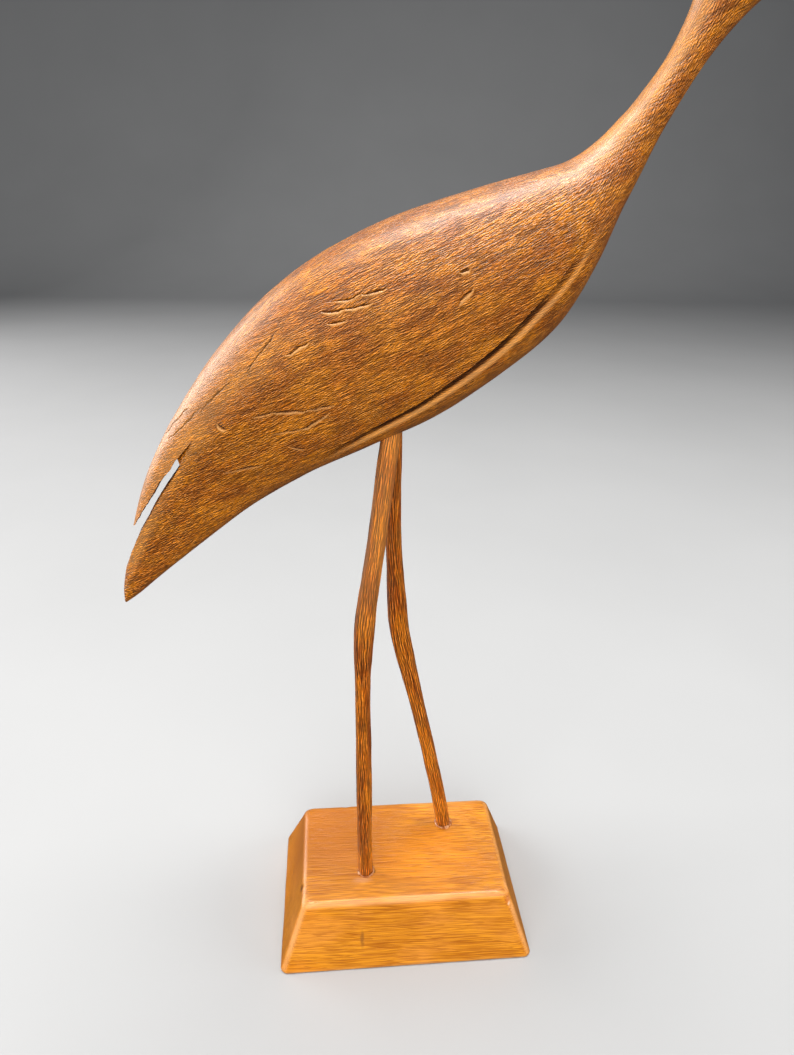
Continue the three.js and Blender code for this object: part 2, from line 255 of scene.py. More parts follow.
FIBRE_RISE = math.radians(27)
ALONG_FIBRES = np.array([math.cos(FIBRE_RISE), 0, math.sin(FIBRE_RISE)])
ABOVE_FIBRES = np.array([-math.sin(FIBRE_RISE), 0, math.cos(FIBRE_RISE)])


def way_around(half_rings, angles):
    """The way around the skin across the fibres, in millimetres, and its direction as (y, above the fibres).

    On the flat side it is the plain height above the fibres, and it goes on over the back and under the belly.
    """
    flat = np.stack([half_rings[..., 1], half_rings @ ABOVE_FIBRES], axis=-1)
    steps = np.linalg.norm(np.diff(flat, axis=1), axis=-1)
    way = np.concatenate([np.zeros((len(flat), 1)), np.cumsum(steps, axis=1)], axis=1)
    ahead = np.array([np.interp(0, *row) for row in zip(angles, way - flat[..., 1])])
    uphill = np.gradient(flat, axis=1)
    uphill /= np.maximum(np.linalg.norm(uphill, axis=-1, keepdims=True), 1e-9)
    return way - ahead[:, None], uphill


def grid_normals(grid):
    along = np.gradient(grid, axis=0)
    around = np.roll(grid, -1, axis=1) - np.roll(grid, 1, axis=1)
    normal = np.cross(around, along)
    length = np.linalg.norm(normal, axis=-1, keepdims=True)
    return normal / np.maximum(length, 1e-9)


near_side = skin_point(np.repeat(at_rows[:, None], half_angles.shape[1], 1), half_angles)
near_way, near_uphill = way_around(near_side, half_angles)
grid_way = np.concatenate([near_way, near_way[:, -2:0:-1]], axis=1)
grid_uphill = np.concatenate([near_uphill, near_uphill[:, -2:0:-1] * np.array([-1, 1])], axis=1)
mirrored = near_side[:, -2:0:-1] * np.array([1, -1, 1])
body_grid = np.concatenate([near_side, mirrored], axis=1)


def turn_into_neck(half_rings, rows, way):
    """How far each point's place in the grain moves, along and around, when the grain turns to follow the neck."""
    middle = half_rings.mean(axis=1) * np.array([1, 0, 1])
    gone = np.concatenate([[0], np.cumsum(np.linalg.norm(np.diff(middle, axis=0), axis=1))])
    steps = np.linalg.norm(np.diff(half_rings, axis=1), axis=-1)
    around = np.concatenate([np.zeros((len(steps), 1)), np.cumsum(steps, axis=1)], axis=1)
    around -= around[:, -1:] / 2
    start = int(np.argmin(np.abs(rows - NECK_GRAIN_FROM)))
    centre_way = np.array([np.interp(0, a, w) for a, w in zip(around, way)])
    along = (gone - gone[start])[:, None] + middle[start] @ ALONG_FIBRES - half_rings @ ALONG_FIBRES
    share = smoothstep(rows, NECK_GRAIN_FROM, NECK_GRAIN_FROM + 2.5)[:, None]
    return share * along, share * (around + centre_way[start] - way)


NECK_GRAIN_FROM = 10.5
near_turn = np.stack(turn_into_neck(near_side, at_rows, near_way), axis=-1)
grid_turn = np.concatenate([near_turn, near_turn[:, -2:0:-1]], axis=1)
outward = grid_normals(body_grid)
centre_line = body_grid.mean(axis=1, keepdims=True)
if np.mean(np.sum(outward * (body_grid - centre_line), axis=-1)) < 0:
    outward = -outward

press_in = np.zeros(body_grid.shape[:2])
band_start = ANGLES_BELOW
depth_here = line_depth(at_rows)[:, None] * cut_profile(CUT_BAND)[None]
press_in[:, band_start : band_start + len(CUT_BAND)] += depth_here
far_band = 2 * half_angles.shape[1] - 2 - np.arange(band_start, band_start + len(CUT_BAND))
press_in[:, far_band] += depth_here
# The cut is painted dark for old oil and as painted shade, less towards the neck and unevenly along the line.
cut_oil_and_shade = np.zeros_like(press_in)
oil_and_shade_left = 1.1 - 0.5 * smoothstep(at_rows, 8.5, 11.0)
oil_and_shade_left *= 0.9 + 0.5 * np.array([noise.noise(Vector((at * 2.3, 0, 5.0))) for at in at_rows])
oil_and_shade_here = (np.clip(oil_and_shade_left, 0, 1) * line_depth(at_rows) / CUT_DEPTH)[:, None] * line_oil_and_shade(CUT_BAND)[None]
cut_oil_and_shade[:, band_start : band_start + len(CUT_BAND)] = oil_and_shade_here
cut_oil_and_shade[:, far_band] = oil_and_shade_here
# Painted highlight on the outer edge of the slope, where it comes up to the light.
cut_lip_and_sheen = np.zeros_like(press_in)
lip_here = 0.5 * (line_depth(at_rows) / CUT_DEPTH)[:, None] * lip_highlight(CUT_BAND)[None]
cut_lip_and_sheen[:, band_start : band_start + len(CUT_BAND)] = lip_here
cut_lip_and_sheen[:, far_band] = lip_here
# Painted sheen: the same pale tint on the upper side of the neck and of the wing tip.
neck_sheen = smoothstep(at_rows, 11.0, 14.0) * (1 - smoothstep(at_rows, 17.5, 19.5))
wing_tip_sheen = smoothstep(at_rows, 1.5, 2.5) * (1 - smoothstep(at_rows, 4.5, 7.5))
upper_sheen = 0.3 * (neck_sheen + wing_tip_sheen)[:, None] * smoothstep(half_angles, 15, 40)
cut_lip_and_sheen = np.maximum(cut_lip_and_sheen, np.concatenate([upper_sheen, upper_sheen[:, -2:0:-1]], axis=1))
print("deepest cut", round(float(depth_here.max()), 2), "mm")

# %% [markdown]
# ## A hand-finished skin
#
# A hand-finished skin is never a true surface: it swells and dips by a tenth of a millimetre or two, and a soft light
# shows that as a slightly wandering sheen. A slow noise, read at each point in space, moves the skin in and out, less
# where the wood is thin.

# %% Hand-finished skin
def hand_finish(points):
    """Slow swells left by knife and scraper, in millimetres, from a fixed three-dimensional noise."""
    flat = points.reshape(-1, 3)
    long_swell = [noise.noise(Vector(p * np.array([0.045, 0.08, 0.075]) + 3.1)) for p in flat]
    short_swell = [noise.noise(Vector(p * np.array([0.13, 0.2, 0.2]) + 7.7)) for p in flat]
    swell = 0.26 * np.array(long_swell) + 0.07 * np.array(short_swell)
    return swell.reshape(points.shape[:-1])


thin_ends = smoothstep(np.arange(len(at_rows)), 0, 12) * (1 - smoothstep(at_rows, 22, 25))
skin_swell = hand_finish(body_grid) * thin_ends[:, None]
skin_swell *= np.clip(along_rows(SECTIONS, at_rows)[:, 4] / 12, 0.25, 1)[:, None]
body_grid = body_grid - outward * (press_in + skin_swell)[..., None]
print("skin swells by up to", round(float(np.abs(skin_swell).max()), 2), "mm")

# %% Close the grid into one skin
def new_piece(name, vertices_mm, faces):
    mesh = bpy.data.meshes.new(name)
    mesh.from_pydata((np.asarray(vertices_mm) * MM).tolist(), [], faces)
    mesh.validate()
    piece = bpy.data.objects.new(name, mesh)
    bpy.context.scene.collection.objects.link(piece)
    return piece


def close_rings(name, grid):
    """Quads between rings, and a fan of triangles on each end."""
    count, around = grid.shape[:2]
    index = np.arange(count * around).reshape(count, around)
    a, b = index[:-1], np.roll(index[:-1], -1, axis=1)
    c, d = np.roll(index[1:], -1, axis=1), index[1:]
    faces = np.stack([a, b, c, d], axis=-1).reshape(-1, 4).tolist()
    points = np.concatenate([grid.reshape(-1, 3), grid[0].mean(0)[None], grid[-1].mean(0)[None]])
    tip, end = count * around, count * around + 1
    for j in range(around):
        k = (j + 1) % around
        faces.append([tip, int(index[0, k]), int(index[0, j])])
        faces.append([end, int(index[-1, j]), int(index[-1, k])])
    piece = new_piece(name, points, faces)
    tidy = bmesh.new()
    tidy.from_mesh(piece.data)
    bmesh.ops.recalc_face_normals(tidy, faces=tidy.faces)
    if tidy.calc_volume(signed=True) < 0:
        bmesh.ops.reverse_faces(tidy, faces=tidy.faces)
    tidy.to_mesh(piece.data)
    tidy.free()
    return piece


bird = close_rings("carved_bird", body_grid)
print("bird skin", len(bird.data.polygons), "faces")

# %% [markdown]
# ## Checks, dents and scratches
#
# Decades of use left marks on the side that faces us: fine drying checks, knocks with a raised lower lip, and a long
# scratch. A mark is a line in the side view with a width, a depth and the height of its lip. The skin's quads are
# wider than most marks, so only the quads near a mark are divided, and then their points are pressed in. The points
# also remember how far they lie in a mark or on a lip, because the mark is painted dark as painted shade and the lip
# is painted pale as a painted highlight.

# %% Marks on the near side
# from x, from z, to x, to z, half width, depth, lip height, all in millimetres
MARKS = [
    (-42.1, 192.1, -36.8, 193.6, 0.19, 0.23, 0.06),
    (-37.4, 193.6, -29.4, 194.2, 0.23, 0.25, 0.10),
    (-29.6, 194.2, -22.0, 195.8, 0.19, 0.23, 0.06),
    (-37.5, 187.7, -30.0, 189.2, 0.18, 0.21, 0.05),
    (-30.2, 189.1, -23.2, 193.8, 0.20, 0.25, 0.10),
    (-51.2, 175.8, -40.8, 178.6, 0.20, 0.24, 0.05),
    (-33.8, 184.0, -30.1, 183.4, 0.18, 0.21, 0.06),
    (-24.7, 217.5, -19.1, 218.7, 0.25, 0.30, 0.16),
    (-19.5, 218.6, -13.0, 220.2, 0.23, 0.25, 0.14),
    (-22.1, 219.8, -15.4, 222.0, 0.19, 0.23, 0.10),
    (-15.8, 221.9, -9.4, 223.4, 0.20, 0.24, 0.13),
    (-23.5, 215.4, -18.8, 216.4, 0.24, 0.30, 0.14),
    (-33.2, 207.9, -28.0, 211.0, 0.25, 0.31, 0.14),
    (-43.0, 203.4, -35.8, 212.5, 0.19, 0.20, 0.04),
    (-55.8, 192.0, -50.2, 198.2, 0.17, 0.17, 0.00),
    (-53.1, 195.1, -47.0, 201.1, 0.17, 0.16, 0.00),
    (-65.1, 183.8, -55.8, 192.9, 0.17, 0.20, 0.00),
    (-66.6, 184.6, -59.0, 192.6, 0.17, 0.16, 0.00),
    (7.0, 220.2, 10.1, 223.8, 0.26, 0.33, 0.13),
    (7.1, 227.0, 9.2, 228.0, 0.30, 0.34, 0.16),
    (-51.4, 189.4, -49.2, 188.3, 0.37, 0.41, 0.18),
]
MARK_REACH = 1.1


def mark_values(points_mm):
    """Depth, share of mark and share of lip at each point, all of them 0 away from the marks."""
    waver = np.array([noise.noise_vector(Vector(p * 0.42)) for p in points_mm]) * 0.42
    waver += np.array([noise.noise_vector(Vector(p * 1.7 + 9.0)) for p in points_mm]) * 0.12
    flat = (points_mm + waver)[:, [0, 2]]
    depth, mark, lip = (np.zeros(len(flat)) for _ in range(3))
    for x0, z0, x1, z1, half_width, deep, lip_height in MARKS:
        run = np.array([x1 - x0, z1 - z0])
        rel = flat - np.array([x0, z0])
        share = np.clip(rel @ run / (run @ run), 0, 1)
        off = rel - share[:, None] * run
        away = np.linalg.norm(off, axis=1)
        width = half_width * (0.35 + 0.65 * (1 - np.abs(2 * share - 1) ** 4))
        inside = 1 - smoothstep(away / width, 0.35, 1.25)
        across = off[:, 1] * run[0] - off[:, 0] * run[1]
        beside = np.exp(-(((away - 2.0 * width) / (1.0 * width)) ** 2)) * (across < 0) * (lip_height > 0)
        depth += deep * inside * (1 - 0.5 * np.abs(2 * share - 1) ** 3) - lip_height * beside
        mark, lip = np.maximum(mark, inside), np.maximum(lip, beside * min(1, lip_height / 0.12))
    near_face = points_mm[:, 1] < 0
    return depth * near_face, mark * near_face, lip * near_face * (1 - mark)


def near_marks(points_mm, reach):
    close = np.zeros(len(points_mm), bool)
    for x0, z0, x1, z1, *_ in MARKS:
        run = np.array([x1 - x0, z1 - z0])
        rel = points_mm[:, [0, 2]] - np.array([x0, z0])
        share = np.clip(rel @ run / (run @ run), 0, 1)
        close |= np.linalg.norm(rel - share[:, None] * run, axis=1) < reach
    return close & (points_mm[:, 1] < 0)


# %% Divide the skin near the marks and press them in
def press_marks(piece):
    work = bmesh.new()
    work.from_mesh(piece.data)
    work.verts.ensure_lookup_table()
    places = np.array([v.co[:] for v in work.verts]) / MM
    close = near_marks(places, MARK_REACH)
    faces = [f for f in work.faces if any(close[v.index] for v in f.verts)]
    edges = list({e for f in faces for e in f.edges})
    bmesh.ops.subdivide_edges(work, edges=edges, cuts=4, use_grid_fill=True)
    bmesh.ops.triangulate(work, faces=[f for f in work.faces if len(f.verts) > 4])
    work.normal_update()
    places = np.array([v.co[:] for v in work.verts]) / MM
    depth, mark, lip = mark_values(places)
    for vertex, deep in zip(work.verts, depth):
        if deep:
            vertex.co -= vertex.normal * float(deep) * MM
    work.to_mesh(piece.data)
    work.free()
    return mark, lip


mark_share, painted_lips_and_sheen = press_marks(bird)
skin_places = np.array([v.co[:] for v in bird.data.vertices]) / MM
print("bird skin", len(bird.data.polygons), "faces,", int((mark_share > 0.5).sum()), "points in marks")

# %% [markdown]
# ## Cutting the slit, the crack and the sockets
#
# Between wing tip and tail the wood is sawn right through and the two edges are rolled over with a knife. A blind
# crack carries the slit on upwards on the side towards us. Each cut is made with a tool shape of its own, subtracted
# with a Boolean modifier. The slit's outline is set in the plane that splits the bird, and the tool gets wider towards
# both faces, because the edges are rolled. Its outline is cut into short steps that wander a little, because a real
# sawn and broken edge isn't drawn with a ruler.

# %% Slit tool
SLIT_WING_SIDE = [
    (-92, 152, 1.0), (-79.6, 156.4, 1.0), (-78.1, 157.6, 1.0), (-75.0, 162.3, 0.8), (-72.1, 166.3, 0.6),
    (-68.8, 171.6, 0.3), (-66.0, 175.0, 0), (-63.7, 178.6, 0),
]
SLIT_TAIL_SIDE = [
    (-62.6, 177.1, 0), (-63.6, 175.6, 0), (-65.3, 173.2, 0.2), (-68.2, 169.4, 0.5), (-71.5, 164.7, 0.9),
    (-74.2, 160.0, 1.0), (-76.8, 155.9, 1.0), (-80.2, 149.0, 1.0), (-84.0, 140.5, 0.6), (-90, 139, 0.6),
]
ACROSS_SLIT = np.array([0.82, -0.57])


def short_steps(corners, step):
    corners = np.asarray(corners, float)
    out = []
    for start, stop in zip(corners[:-1], corners[1:]):
        pieces = max(1, int(np.linalg.norm((stop - start)[:2]) / step))
        out += [start + (stop - start) * k / pieces for k in range(pieces)]
    return np.array(out + [corners[-1]])


def slit_tool(step=0.7, wander=0.10):
    wing, tail = short_steps(SLIT_WING_SIDE, step), short_steps(SLIT_TAIL_SIDE, step)
    depths = np.concatenate([np.arange(-11, 11.01, 0.6)])
    rings = []
    for y in depths:
        sides = []
        for side, sign, roll in ((wing, -1, 1 / 34), (tail, 1, 1 / 45)):
            away = sign * side[:, 2] * y * y * roll
            rough = [wander * noise.noise(Vector((p[0] * 0.9, y * 0.35, p[1] * 0.9 + 5 * sign))) for p in side]
            if side is wing:
                rough = [r + 2 * wander * noise.noise(Vector((p[0] * 2.1, y * 0.3, p[1] * 2.1))) for r, p in zip(rough, side)]
            shift = (away + np.array(rough))[:, None] * ACROSS_SLIT
            flat = side[:, :2] + shift
            sides.append(np.stack([flat[:, 0], np.full(len(flat), y), flat[:, 1]], axis=1))
        rings.append(np.concatenate(sides))
    return close_prism("slit_tool", np.array(rings))


def close_prism(name, rings):
    """Rings joined by quads, each end closed by one many-sided face."""
    count, around = rings.shape[:2]
    index = np.arange(count * around).reshape(count, around)
    a, b = index[:-1], np.roll(index[:-1], -1, axis=1)
    c, d = np.roll(index[1:], -1, axis=1), index[1:]
    faces = np.stack([a, b, c, d], axis=-1).reshape(-1, 4).tolist()
    faces += [index[0][::-1].tolist(), index[-1].tolist()]
    piece = new_piece(name, rings.reshape(-1, 3), faces)
    tidy = bmesh.new()
    tidy.from_mesh(piece.data)
    bmesh.ops.triangulate(tidy, faces=[f for f in tidy.faces if len(f.verts) > 4])
    bmesh.ops.recalc_face_normals(tidy, faces=tidy.faces)
    if tidy.calc_volume(signed=True) < 0:
        bmesh.ops.reverse_faces(tidy, faces=tidy.faces)
    tidy.to_mesh(piece.data)
    tidy.free()
    return piece


# %% Crack tool
CRACK = [
    (-64.6, 177.2), (-62.9, 176.6), (-62.3, 177.5), (-61.1, 179.7), (-60.0, 181.5), (-59.1, 183.1), (-58.4, 184.6),
    (-59.6, 183.2), (-60.7, 181.9), (-62.2, 180.2), (-63.8, 178.3),
]


def crack_tool(depth=1.7, mouth=4.0):
    """A wedge that is deep under the wing's edge and runs out to nothing on the tail's side.

    The skin lies further forward towards the crack's tip, so the wedge follows it.
    """
    outline = np.array(CRACK)
    across = outline @ ACROSS_SLIT
    floor = outline - 0.75 * (across - across.min())[:, None] * ACROSS_SLIT
    skin = -7.0 - 0.36 * (outline[:, 0] + 64.0)
    rings = []
    for y, flat in ((skin - mouth, outline), (skin, outline), (skin + depth, floor)):
        rings.append(np.stack([flat[:, 0], y, flat[:, 1]], axis=1))
    return close_prism("crack_tool", np.array(rings))


# %% [markdown]
# ## The legs
#
# The legs are sticks of the same wood, split along the grain, whittled to a bend at the knee with long knife strokes,
# and left with their flats. A path with a width at each bend and one whittled section describes such a stick fully, so
# Geometry Nodes make it: the section is carried along the path, and a slow noise moves the flats in and out as a knife
# does. The flats keep firm but not sharp edges, so the section has a point on each side of every arris.

# %% Paths of the legs
# x, y, z and width, from foot to hip, in millimetres
NEAR_LEG = [
    (-13.6, -9.1, 23.3, 5.0), (-14.0, -8.8, 37.8, 5.0), (-14.2, -8.2, 59.7, 5.2), (-14.4, -7.7, 79.7, 5.0),
    (-14.7, -7.1, 102.6, 4.9), (-14.5, -6.7, 116.0, 5.8), (-14.0, -6.5, 125.5, 6.4), (-13.1, -6.3, 134.5, 5.8),
    (-10.8, -5.8, 151.9, 5.3), (-8.9, -5.4, 168.4, 5.5), (-7.1, -5.1, 184.0, 5.3),
]
FAR_LEG = [
    (17.0, 10.7, 23.3, 5.4), (14.3, 10.2, 39.1, 5.6), (9.3, 9.3, 63.0, 5.3), (4.3, 8.5, 85.3, 5.5),
    (-0.3, 7.8, 105.1, 6.6), (-2.3, 7.4, 116.0, 6.8), (-3.3, 7.1, 126.2, 6.4), (-4.6, 6.4, 145.7, 5.1),
    (-5.1, 5.7, 163.7, 4.8), (-5.2, 5.3, 184.0, 4.6),
]
LEG_CORNERS = [(12, 1.0), (62, 0.96), (118, 1.0), (168, 1.03), (205, 0.98), (243, 0.96), (297, 0.98), (336, 1.02)]
SOCKET_DEPTH = 5.0


def leg_path(bends, steps=14):
    rows = along_rows(bends, np.linspace(0, len(bends) - 1, (len(bends) - 1) * steps + 1))
    foot = rows[0] + (rows[0] - rows[1]) * SOCKET_DEPTH / (rows[1, 2] - rows[0, 2])
    hip = rows[-1] + (rows[-1] - rows[-2]) * (SOCKET_DEPTH + 1) / (rows[-1, 2] - rows[-2, 2])
    foot[3], hip[3] = rows[0, 3], rows[-1, 3]
    return np.concatenate([foot[None], rows, hip[None]])


def whittled_section():
    """Closed section of radius one: two points beside each arris, and two on each flat."""
    corners = [np.array([math.cos(math.radians(a)), math.sin(math.radians(a))]) * r * 1.03 for a, r in LEG_CORNERS]
    points = []
    for k, corner in enumerate(corners):
        after = corners[(k + 1) % len(corners)]
        points += [corner + (after - corner) * share for share in (0.06, 0.35, 0.65, 0.94)]
    return np.array(points)


# %% A curve object for a path
def curve_from(name, points_mm, radii=None, closed=False):
    data = bpy.data.curves.new(name, "CURVE")
    data.dimensions = "3D"
    spline = data.splines.new("POLY")
    spline.points.add(len(points_mm) - 1)
    spline.use_cyclic_u = closed
    for k, point in enumerate(points_mm):
        spline.points[k].co = (*[c * MM for c in point], 1)
        if radii is not None:
            spline.points[k].radius = radii[k]
    piece = bpy.data.objects.new(name, data)
    bpy.context.scene.collection.objects.link(piece)
    return piece


# %% The whittling tree
def named_tree(name, sockets):
    tree = bpy.data.node_groups.new(name, "GeometryNodeTree")
    tree.interface.new_socket("Geometry", in_out="INPUT", socket_type="NodeSocketGeometry")
    for label, kind, value in sockets:
        socket = tree.interface.new_socket(label, in_out="INPUT", socket_type=kind)
        if value is not None:
            socket.default_value = value
    tree.interface.new_socket("Geometry", in_out="OUTPUT", socket_type="NodeSocketGeometry")
    start, stop = tree.nodes.new("NodeGroupInput"), tree.nodes.new("NodeGroupOutput")
    return tree, start, stop


def whittling_tree():
    """Carries a section along the path, scaled by the path's width, and moves the flats with a slow noise."""
    tree, start, stop = named_tree(
        "whittled_stick",
        [
            ("Section", "NodeSocketObject", None),
            ("Knife swell", "NodeSocketFloat", 0.00012),
            ("Stroke length", "NodeSocketFloat", 0.011),
            ("Wood", "NodeSocketMaterial", None),
        ],
    )
    new, link = tree.nodes.new, tree.links.new
    section = new("GeometryNodeObjectInfo")
    section.transform_space = "ORIGINAL"
    link(start.outputs["Section"], section.inputs["Object"])
    radius = new("GeometryNodeInputRadius")
    sweep = new("GeometryNodeCurveToMesh")
    sweep.inputs["Fill Caps"].default_value = True
    link(start.outputs["Geometry"], sweep.inputs["Curve"])
    link(section.outputs["Geometry"], sweep.inputs["Profile Curve"])
    link(radius.outputs["Radius"], sweep.inputs["Scale"])
    place = new("GeometryNodeInputPosition")
    stretch = new("ShaderNodeVectorMath")
    stretch.operation = "DIVIDE"
    strokes = new("ShaderNodeCombineXYZ")
    across = new("ShaderNodeMath")
    across.operation = "MULTIPLY"
    across.inputs[1].default_value = 0.35
    link(start.outputs["Stroke length"], across.inputs[0])
    for axis in ("X", "Y"):
        link(across.outputs[0], strokes.inputs[axis])
    link(start.outputs["Stroke length"], strokes.inputs["Z"])
    link(place.outputs["Position"], stretch.inputs[0])
    link(strokes.outputs["Vector"], stretch.inputs[1])
    waves = new("ShaderNodeTexNoise")
    waves.inputs["Scale"].default_value = 1.0
    waves.inputs["Detail"].default_value = 1.5
    link(stretch.outputs["Vector"], waves.inputs["Vector"])
    centred = new("ShaderNodeMath")
    centred.operation = "SUBTRACT"
    centred.inputs[1].default_value = 0.5
    link(waves.outputs["Fac"], centred.inputs[0])
    swell = new("ShaderNodeMath")
    swell.operation = "MULTIPLY"
    link(centred.outputs[0], swell.inputs[0])
    link(start.outputs["Knife swell"], swell.inputs[1])
    double = new("ShaderNodeMath")
    double.operation = "MULTIPLY"
    double.inputs[1].default_value = 4.0
    link(swell.outputs[0], double.inputs[0])
    normal = new("GeometryNodeInputNormal")
    push = new("ShaderNodeVectorMath")
    push.operation = "SCALE"
    link(normal.outputs["Normal"], push.inputs[0])
    link(double.outputs[0], push.inputs["Scale"])
    move = new("GeometryNodeSetPosition")
    link(sweep.outputs["Mesh"], move.inputs["Geometry"])
    link(push.outputs["Vector"], move.inputs["Offset"])
    real = new("GeometryNodeRealizeInstances")
    link(move.outputs["Geometry"], real.inputs["Geometry"])
    finish = new("GeometryNodeSetMaterial")
    link(real.outputs["Geometry"], finish.inputs["Geometry"])
    link(start.outputs["Wood"], finish.inputs["Material"])
    link(finish.outputs["Geometry"], stop.inputs["Geometry"])
    return tree


# %% Setting a tree's inputs and turning its result into a plain mesh
def set_inputs(modifier, values):
    for item in modifier.node_group.interface.items_tree:
        if item.in_out == "INPUT" and item.name in values:
            modifier[item.identifier] = values[item.name]


def plain_mesh(name, maker):
    """The evaluated result as a mesh object of its own; the curve and its modifier are removed."""
    bpy.context.view_layer.update()
    result = maker.evaluated_get(bpy.context.evaluated_depsgraph_get())
    mesh = bpy.data.meshes.new_from_object(result)
    mesh.name = name
    piece = bpy.data.objects.new(name, mesh)
    bpy.context.scene.collection.objects.link(piece)
    maker.modifiers.clear()
    bpy.data.objects.remove(maker)
    return piece


# %% [markdown]
# ## One wood, several finishes
#
# Both woods are made of the same things: long fibres, growth bands, and open pores that show as short dark dashes
# along the fibres and as dots on end grain. A pattern that is solid, like wood itself, gives all of that at once: it
# is worked out in space, long along the fibres and short across them, and the carved surface simply cuts through it.
# So each effect is a node group that takes a place in space, and each material places it with its own direction,
# colours and sizes.

# %% Helpers for shader groups
def shader_group(name, inputs, outputs):
    group = bpy.data.node_groups.new(name, "ShaderNodeTree")
    for label, kind, value in inputs:
        socket = group.interface.new_socket(label, in_out="INPUT", socket_type=kind)
        if value is not None:
            socket.default_value = value
    for label, kind in outputs:
        group.interface.new_socket(label, in_out="OUTPUT", socket_type=kind)
    return group, group.nodes.new("NodeGroupInput"), group.nodes.new("NodeGroupOutput")


class Bench:
    """Short words for adding and joining nodes in one tree."""

    def __init__(self, tree):
        self.tree = tree

    def put(self, socket, value):
        if isinstance(value, bpy.types.NodeSocket):
            self.tree.links.new(value, socket)
        elif value is not None:
            socket.default_value = value

    def math(self, operation, a, b=None, c=None, clamp=False):
        node = self.tree.nodes.new("ShaderNodeMath")
        node.operation, node.use_clamp = operation, clamp
        for socket, value in zip(node.inputs, (a, b, c)):
            self.put(socket, value)
        return node.outputs[0]

    def vector(self, operation, a, b=None, scale=None):
        node = self.tree.nodes.new("ShaderNodeVectorMath")
        node.operation = operation
        self.put(node.inputs[0], a)
        self.put(node.inputs[1], b)
        if scale is not None:
            self.put(node.inputs["Scale"], scale)
        return node.outputs["Value"] if operation in ("LENGTH", "DISTANCE", "DOT_PRODUCT") else node.outputs["Vector"]

    def noise(self, place, scale, detail=3.0, roughness=0.5, distortion=0.0, fac=True):
        node = self.tree.nodes.new("ShaderNodeTexNoise")
        self.put(node.inputs["Vector"], place)
        for label, value in (
            ("Scale", scale), ("Detail", detail), ("Roughness", roughness), ("Distortion", distortion)
        ):
            self.put(node.inputs[label], value)
        return node.outputs["Fac" if fac else "Color"]

    def range(self, value, low, high, to_low=0.0, to_high=1.0, smooth=True):
        node = self.tree.nodes.new("ShaderNodeMapRange")
        node.interpolation_type = "SMOOTHSTEP" if smooth else "LINEAR"
        for label, item in (
            ("Value", value), ("From Min", low), ("From Max", high), ("To Min", to_low), ("To Max", to_high)
        ):
            self.put(node.inputs[label], item)
        return node.outputs["Result"]

    def mix(self, share, a, b, blend="MIX"):
        node = self.tree.nodes.new("ShaderNodeMix")
        node.data_type, node.blend_type = "RGBA", blend
        self.put(node.inputs["Factor"], share)
        self.put(node.inputs[6], a)
        self.put(node.inputs[7], b)
        return node.outputs[2]

    def mix_values(self, share, a, b):
        node = self.tree.nodes.new("ShaderNodeMix")
        node.data_type = "FLOAT"
        self.put(node.inputs[0], share)
        self.put(node.inputs[2], a)
        self.put(node.inputs[3], b)
        return node.outputs[0]

    def place(self, vector, turn=(0, 0, 0), scale=(1, 1, 1), shift=(0, 0, 0)):
        node = self.tree.nodes.new("ShaderNodeMapping")
        node.inputs["Rotation"].default_value = turn
        node.inputs["Scale"].default_value = scale
        node.inputs["Location"].default_value = shift
        self.put(node.inputs["Vector"], vector)
        return node.outputs["Vector"]

    def group(self, tree, **values):
        node = self.tree.nodes.new("ShaderNodeGroup")
        node.node_tree = tree
        for label, value in values.items():
            self.put(node.inputs[label.replace("_", " ")], value)
        return node.outputs


# %% Fibre streaks
def fibre_streaks_group():
    """Dark lines, fine ridges, bands and specks that run with the fibres, which lie along X of Place, in metres.

    Across shares out the change across the fibres: 1, 1, 1 is solid wood, and a small Y or Z draws the streaks out
    over a surface that faces that way.
    """
    group, start, stop = shader_group(
        "fibre streaks",
        [
            ("Place", "NodeSocketVector", None),
            ("Across", "NodeSocketVector", (1.0, 1.0, 1.0)),
            ("Line width", "NodeSocketFloat", 0.0005),
            ("Line length", "NodeSocketFloat", 0.006),
            ("Coverage", "NodeSocketFloat", 0.5),
            ("Wander", "NodeSocketFloat", 1.0),
        ],
        [
            ("Bands", "NodeSocketFloat"),
            ("Lines", "NodeSocketFloat"),
            ("Ridges", "NodeSocketFloat"),
            ("Specks", "NodeSocketFloat"),
        ],
    )
    b = Bench(group)
    place, width, length = start.outputs["Place"], start.outputs["Line width"], start.outputs["Line length"]
    drift = b.vector("SUBTRACT", b.noise(place, 55.0, detail=1.0, fac=False), (0.5, 0.5, 0.5))
    drift = b.vector("SCALE", drift, scale=b.math("MULTIPLY", start.outputs["Wander"], 0.002))
    bent = b.vector("MULTIPLY", b.vector("ADD", place, drift), start.outputs["Across"])

    def stretched(long_share, wide_share):
        size = b.tree.nodes.new("ShaderNodeCombineXYZ")
        b.put(size.inputs["X"], b.math("MULTIPLY", length, long_share))
        for axis in ("Y", "Z"):
            b.put(size.inputs[axis], b.math("MULTIPLY", width, wide_share))
        return b.vector("DIVIDE", bent, size.outputs["Vector"])

    ridges = b.noise(stretched(1.0, 1.0), 1.0, detail=1.0, roughness=0.5)
    net = b.noise(stretched(1.6, 3.2), 1.0, detail=1.5, roughness=0.55)
    net_line = b.range(b.math("ABSOLUTE", b.math("SUBTRACT", net, 0.5)), 0.05, 0.02)
    low = b.math("SUBTRACT", 0.68, b.math("MULTIPLY", start.outputs["Coverage"], 0.14))
    thin_line = b.range(ridges, low, b.math("ADD", low, 0.09))
    b.put(stop.inputs["Lines"], b.math("MAXIMUM", thin_line, b.math("MULTIPLY", net_line, 0.8)))
    b.put(stop.inputs["Ridges"], b.range(ridges, 0.62, 0.38, smooth=False))
    b.put(stop.inputs["Specks"], b.noise(stretched(0.15, 1.0), 1.0, detail=1.0, roughness=0.5))
    b.put(stop.inputs["Bands"], b.noise(stretched(1.6, 12.0), 1.0, detail=2.0, roughness=0.5))
    return group


fibre_streaks = fibre_streaks_group()
print("shader group", fibre_streaks.name, "with", len(fibre_streaks.nodes), "nodes")

